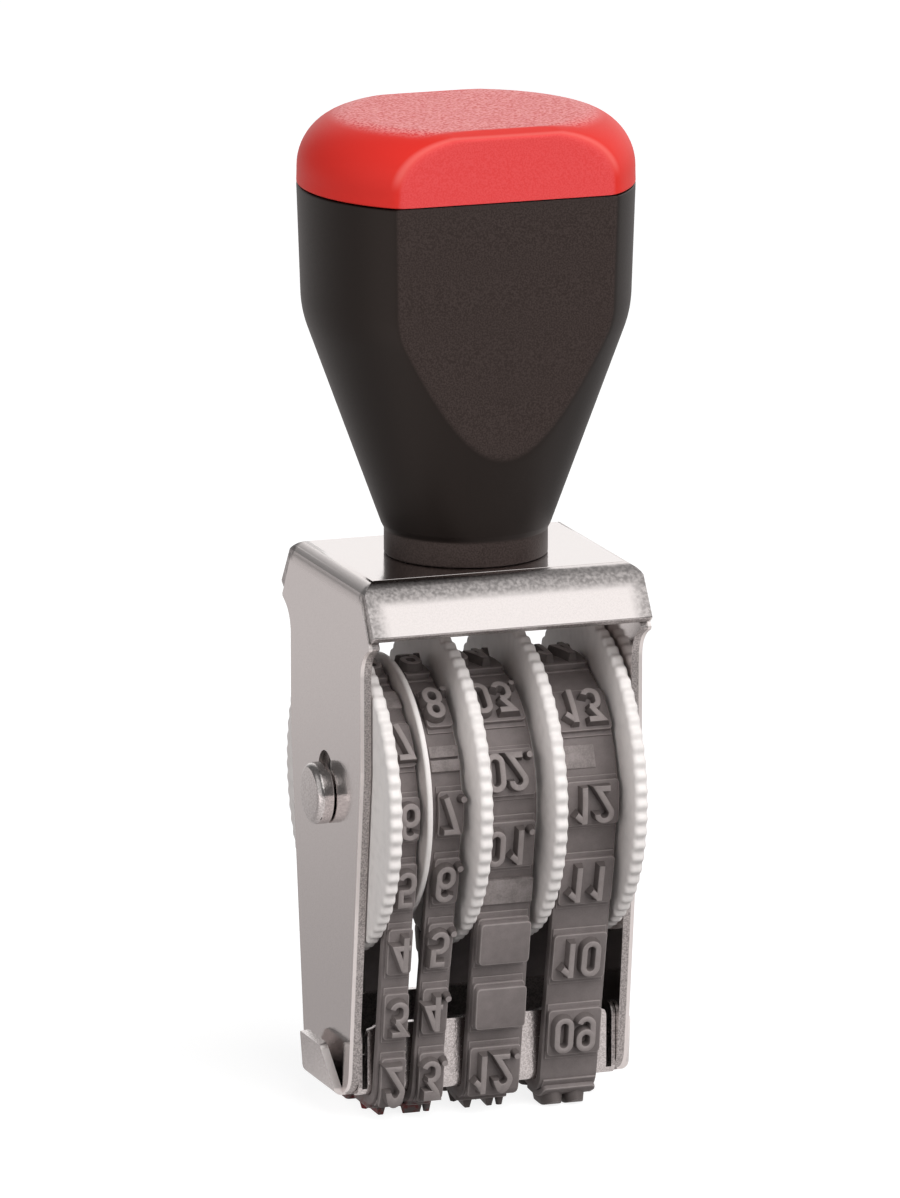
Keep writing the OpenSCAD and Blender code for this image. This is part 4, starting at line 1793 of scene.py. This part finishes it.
@dataclass
class Bands:
    """The rubber bands with their raised type.

    A character stands on a platform over a low base, and each reaches a little into what is below.
    """

    rows: Sequence[BandRow]
    loop: BeltLoop = field(default_factory=BeltLoop)
    digits: Digits = field(default_factory=Digits)
    pen: Pen = field(default_factory=Pen)
    platform_h: float = 0.7
    platform_len: float = 4.8
    blank_len: float = 4.3
    blank_in: float = 0.04
    blank_edge: float = 0.12
    blank_sink: float = 0.2
    base_len: float = 5.8
    base_h: float = 0.2
    low_corner: float = 0.1
    low_edge: float = 0.08
    drift_z: Point = (33.0, 11.0)
    corner: float = 0.4
    edge: float = 0.1
    relief: float = 0.9
    sink: float = 0.4
    lap_len: float = 2.6
    lap_gap: float = 0.06
    lap_in: float = 0.05
    lap_sink: float = 0.3
    layer_drop: float = 0.012
    crease: float = 40.0

    def slug(self, bm: BMesh, mark: str, width: float, nudge: float) -> None:
        """Draws one character block on its low base.

        Args:
            bm: The empty mesh to draw it in.
            mark: Its numerals, or nothing for a blank.
            width: The platform's width.
            nudge: How far the numerals lie to the right of its middle.
        """
        t, top = self.loop.thick, self.loop.thick + self.platform_h
        size = width, self.base_len
        add_block(bm, size, t - self.sink, t + self.base_h, self.low_corner, self.low_edge)
        size = width, self.platform_len
        add_block(bm, size, t - self.sink, top, self.corner, self.edge)
        if mark:
            self.letter(bm, mark, Matrix.Translation(Vector((nudge, 0, top))))
        else:
            size = width - 2 * self.blank_in, self.blank_len
            low, high = top - self.blank_sink, top + self.relief
            add_block(bm, size, low, high, self.corner, self.blank_edge)

    def letter(self, bm: BMesh, mark: str, lift: Matrix) -> None:
        """Draws the numerals of one block.

        Args:
            bm: The mesh to draw in.
            mark: The numerals.
            lift: Where the platform's top is.
        """
        before = set(bm.verts)
        room = sum(self.digits.advance(part) for part in mark.rstrip("."))
        at = -room / 2 + (self.digits.advance("0") - self.digits.width) / 2
        for part in mark:
            for layer, stroke in enumerate(self.digits.strokes(part)):
                old = set(bm.verts)
                self.pen.draw(bm, stroke, (at, -self.digits.height / 2))
                drop = Vector((0, 0, -self.layer_drop * layer))
                bmesh.ops.translate(bm, vec=drop, verts=newer(bm, old))
            at += self.digits.advance(part)
        bmesh.ops.remove_doubles(bm, verts=newer(bm, before), dist=WELD)
        fresh = newer(bm, before)
        rims = [line for line in lines_of(fresh) if line.is_boundary]
        bmesh.ops.holes_fill(bm, edges=rims)
        # Crests take the lighter type finish: partly wear, partly a painted highlight.
        crest = self.relief - 2 * self.pen.edge
        for face in faces_of(fresh):
            # The sides take the darker finish: painted shade.
            foot = min(vert.co.z for vert in face.verts)
            face.material_index = WEAR_AND_HIGHLIGHT_FACES if foot > crest else SHADED_SIDE_FACES
        bmesh.ops.transform(bm, matrix=lift, verts=fresh)

    def place(self, row: BandRow, k: int) -> float:
        """Gives a character's distance from the print line.

        Args:
            row: The band.
            k: The character's number.

        Returns:
            The distance, counted back from the print line for those at the rear.
        """
        s = row.shift + k * row.pitch + (row.lap.room if k > row.lap.after else 0)
        rear = row.shift - (len(row.marks) - k) * row.pitch
        return s if s < self.loop.half_len else rear

    def build_band(self, bench: Bench, row: BandRow) -> None:
        """Makes one band.

        Args:
            bench: The bench that makes the pieces.
            row: The band.
        """
        band = bmesh.new()
        x = row.start + row.width / 2
        self.loop.draw(band, x, row.width)
        bmesh.ops.remove_doubles(band, verts=band.verts, dist=WELD)
        left, right = row.inset
        wide = row.width - left - right
        for k, mark in enumerate(row.marks):
            block = bmesh.new()
            self.slug(block, mark, wide, row.nudge)
            self.add(band, block, self.place(row, k), x + (left - right) / 2)
        self.join(band, row)
        self.skew(band, row.drift)
        bench.piece(
            band,
            f"{row.node}_type",
            row.finish,
            replaces=[row.node],
            crease=self.crease,
            others=[Finishes.TYPE_WEAR_AND_HIGHLIGHT, Finishes.LAP, row.side],
        )

    def join(self, band: BMesh, row: BandRow) -> None:
        """Adds the strips of the joint between a band's ends.

        Args:
            band: The band's mesh.
            row: The band.
        """
        lap = row.lap
        middle = row.shift + (lap.after + 0.5) * row.pitch + lap.room / 2
        room = self.lap_len / lap.strips
        width = lap.share * row.width - 2 * self.lap_in
        low, high = self.loop.thick - self.lap_sink, self.loop.thick + lap.height
        for k in range(lap.strips):
            strip = bmesh.new()
            size = width, room - self.lap_gap
            add_block(strip, size, low, high, self.low_corner, self.low_edge)
            for face in strip.faces:
                face.material_index = LAP_FACES
            s = middle + (k - (lap.strips - 1) / 2) * room
            self.add(band, strip, s, row.start + self.lap_in + width / 2)

    def skew(self, band: BMesh, drift: Point) -> None:
        """Lets a band run off sideways between its drum and the platen.

        Args:
            band: The band's mesh.
            drift: How far it has moved along the axle at the platen's front and rear.
        """
        high, low = self.drift_z
        front, rear = drift
        half = self.loop.flat_len
        for vert in band.verts:
            down = eased((high - vert.co.z) / (high - low))
            back = eased((vert.co.y + half) / (2 * half))
            vert.co.x += (front + (rear - front) * back) * down

    def add(self, band: BMesh, block: BMesh, s: float, x: float) -> None:
        """Lays a block on the loop and adds it to a band.

        Args:
            band: The band's mesh.
            block: The block's mesh, which is used up.
            s: The block's distance from the print line.
            x: Its place along the axle.
        """
        self.loop.lay(block, s, x)
        bmesh.ops.recalc_face_normals(block, faces=block.faces)
        carrier = to_mesh(block, "block")
        band.from_mesh(carrier)
        bpy.data.meshes.remove(carrier)

    def build(self, bench: Bench) -> None:
        """Makes all bands.

        Args:
            bench: The bench that makes the pieces.
        """
        for row in self.rows:
            self.build_band(bench, row)


@dataclass(frozen=True)
class Card:
    """A soft bright patch of the room that the metal mirrors.

    Attributes:
        toward: The direction of its middle.
        strength: Its brightness.
        outer: The angle from its middle at which it ends, in degrees.
        inner: The angle up to which it is full, in degrees.
    """

    toward: Place
    strength: float
    outer: float
    inner: float

    def glow(self, shader: Shader) -> Value:
        """Gives what the patch adds to the room's brightness."""
        ends = math.cos(math.radians(self.outer)), math.cos(math.radians(self.inner))
        return self.strength * shader.toward(self.toward).step(*ends)


@dataclass(frozen=True)
class Lamp:
    """A square lamp that looks at the stamp.

    Attributes:
        name: Its name.
        place: Where it hangs.
        size: Its side.
        power: Its power, in watts.
    """

    name: str
    place: Place
    size: float
    power: float

    def hang(self, target: Vector) -> None:
        """Hangs the lamp.

        Args:
            target: Where it looks.
        """
        data = bpy.data.lights.new(self.name, "AREA")
        data.size = self.size * MM
        data.energy = self.power
        at = Vector(self.place)
        stand_facing(self.name, data, at, target - at).visible_glossy = False


@dataclass
class Studio:
    """The pale floor, the soft light and the camera.

    The metal mirrors a floor of mirror_level, which is brighter near the stamp, far behind it and
    aside of it, and a room of dim_level with bright cards.
    """

    azimuth: float = -19.59
    elevation: float = 12.81
    distance: float = 1161.0
    focal_px: float = 11905.0
    aim_z: float = 49.9
    aim_right: float = -1.54
    aim_up: float = 0.285
    sensor: float = 36.0
    clip: Point = (0.05, 20.0)
    floor_half: float = 4000.0
    floor_albedo: float = 0.35
    floor_lift: float = 0.85
    mirror_tint: Colour = (1.0, 0.95, 0.938)
    mirror_level: float = 0.42
    near_gain: float = 0.36
    near_start: Point = (-240.0, -150.0)
    near_end: Point = (-20.0, 30.0)
    far_gain: float = 0.2
    far_start: Point = (20.0, 220.0)
    aside_gain: float = 0.5
    aside_x: Point = (-110.0, -60.0)
    aside_y: Point = (-30.0, 0.0)
    world_tint: Colour = (1.0, 0.985, 0.975)
    world_level: float = 0.1
    dim_level: float = 0.14
    cards: tuple[Card, ...] = (
        Card((0.33, -0.58, 0.74), 1.05, 42, 20),
        Card((0.68, 0.7, 0.2), 0.95, 68, 32),
        Card((-0.95, -0.25, 0.2), 0.5, 50, 20),
    )
    lamps: tuple[Lamp, ...] = (
        Lamp("key", (450, -850, 850), 1500, 23.0),
        Lamp("fill", (-1300, -350, 450), 900, 9.0),
    )

    def build(self) -> None:
        """Sets the stage."""
        bpy.context.scene.view_settings.view_transform = "Standard"
        self.build_camera()
        self.build_floor()
        self.build_world()
        for lamp in self.lamps:
            lamp.hang(Vector((0, 0, self.aim_z)))

    def build_camera(self) -> None:
        """Stands the camera where the photograph was taken."""
        a, e = math.radians(self.azimuth), math.radians(self.elevation)
        back = Vector((math.sin(a) * math.cos(e), -math.cos(a) * math.cos(e), math.sin(e)))
        turn = (-back).to_track_quat("-Z", "Y")
        right, up = turn @ Vector((1, 0, 0)), turn @ Vector((0, 1, 0))
        aim = Vector((0, 0, self.aim_z)) + right * self.aim_right + up * self.aim_up
        data = bpy.data.cameras.new("view")
        data.sensor_width = self.sensor
        data.lens = self.focal_px / max(IMAGE_SIZE) * self.sensor
        data.clip_start, data.clip_end = self.clip
        place = aim + back * self.distance
        bpy.context.scene.camera = stand_facing("view", data, place, -back)

    def build_floor(self) -> None:
        """Lays a white floor that keeps the stamp's shadow."""
        bm = bmesh.new()
        bmesh.ops.create_grid(bm, x_segments=1, y_segments=1, size=self.floor_half * MM)
        mesh = to_mesh(bm, "floor")
        shader = Shader.of_material("white_floor")
        seen = shader.light_path("Is Camera Ray")
        mirrored = shader.light_path("Is Glossy Ray")
        x, y = (shader.axis(name) / MM for name in "XY")
        near = y.step(*self.near_start) - y.step(*self.near_end)
        far = y.step(*self.far_start)
        aside = (1.0 - x.step(*self.aside_x)) * (1.0 - y.step(*self.aside_y))
        zones = self.near_gain * near + self.far_gain * far + self.aside_gain * aside
        albedo = rgba((self.floor_albedo,) * 3)
        matte = shader.node("ShaderNodeBsdfDiffuse", inputs={"Color": albedo})
        lift = shader.node("ShaderNodeEmission", inputs={"Strength": seen * self.floor_lift})
        lit = shader.node("ShaderNodeAddShader", inputs={0: matte.outputs[0], 1: lift.outputs[0]})
        warm = {"Color": rgba(self.mirror_tint), "Strength": self.mirror_level + zones}
        mirror = shader.node("ShaderNodeEmission", inputs=warm)
        choice = {0: mirrored, 1: lit.outputs[0], 2: mirror.outputs[0]}
        both = shader.node("ShaderNodeMixShader", inputs=choice)
        shader.node("ShaderNodeOutputMaterial", inputs={"Surface": both.outputs[0]})
        mesh.materials.append(shader.owner)
        floor = stand("floor", mesh)

    def build_world(self) -> None:
        """Surrounds the stamp with even light, a white backdrop and what its metal mirrors."""
        world = bpy.data.worlds.new("studio")
        bpy.context.scene.world = world
        shader = Shader(world)
        seen = shader.light_path("Is Camera Ray")
        mirrored = shader.light_path("Is Glossy Ray")
        room: Value | float = self.dim_level
        for card in self.cards:
            room = room + card.glow(shader)
        plain = (1.0 - seen) * (1.0 - mirrored) * self.world_level
        inputs = {"Color": rgba(self.world_tint), "Strength": plain + seen + mirrored * room}
        sky = shader.node("ShaderNodeBackground", inputs=inputs)
        shader.node("ShaderNodeOutputWorld", inputs={"Surface": sky.outputs[0]})


def wheel_rows() -> list[WheelRow]:
    """Lists the wheels' stations along the axle.

    Returns:
        The stations, from the left.
    """
    return [
        WheelRow("day_tens_wheel", "day_tens", -13.25, 3.2, drum_after_rim=True),
        WheelRow("day_units_wheel", "day_units", -7.95, 4.0, drum_after_rim=False),
        WheelRow("month_wheel", "month", -2.55, 6.3, drum_after_rim=False),
        WheelRow("year_wheel", "year", 5.15, 6.8, drum_after_rim=False),
    ]


def band_rows() -> list[BandRow]:
    """Lists the bands with their type, from the print line forwards and up.

    Returns:
        The bands, from the left.
    """
    return [
        BandRow(
            "day_tens_band",
            start=-11.8,
            width=2.9,
            pitch=6.79,
            shift=1.95,
            marks=[*"1234567890123", "", ""],
            lap=Lap(6),
            inset=(0.3, 0.08),
            nudge=0.0,
            drift=(-0.2, 0.0),
            finish=Finishes.INKED,
            side=Finishes.SHADED_INKED_SIDE,
        ),
        BandRow(
            "day_units_band",
            start=-7.5,
            width=3.1,
            pitch=6.79,
            shift=2.2,
            marks=[*(f"{mark}." for mark in "234567890123"), "", "0.", "1."],
            lap=Lap(5, strips=2),
            inset=(0.42, 0.06),
            nudge=-0.34,
            drift=(-0.7, -0.6),
            finish=Finishes.INKED,
            side=Finishes.SHADED_INKED_SIDE,
        ),
        BandRow(
            "month_band",
            start=-2.45,
            width=5.75,
            pitch=6.79,
            shift=2.25,
            marks=["11.", "12.", "", "", *(f"{month:02}." for month in range(1, 11)), ""],
            lap=Lap(3),
            inset=(0.2, 0.3),
            nudge=-0.52,
            drift=(-0.3, 0.7),
        ),
        BandRow(
            "year_band",
            start=5.75,
            width=5.95,
            pitch=7.93,
            shift=4.3,
            marks=[f"{year:02}" for year in (*range(8, 20), 7)],
            lap=Lap(4, room=0.7, share=0.64, height=0.12),
            inset=(0.35, 0.1),
            nudge=-0.22,
            drift=(-0.65, 0.2),
        ),
    ]


def main() -> None:
    """Builds the stamp and its stage."""
    logging.basicConfig(level=logging.INFO, format="%(relativeCreated)6d ms %(message)s")
    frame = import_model()
    bench = Bench(frame["nodes"])
    builders: list[Callable[[Bench], None]] = [
        Grip().build,
        SteelWork().build,
        Wheels(wheel_rows()).build,
        Bands(band_rows()).build,
    ]
    for build in builders:
        build(bench)
    Studio().build()


if __name__ == "__main__":
    main()
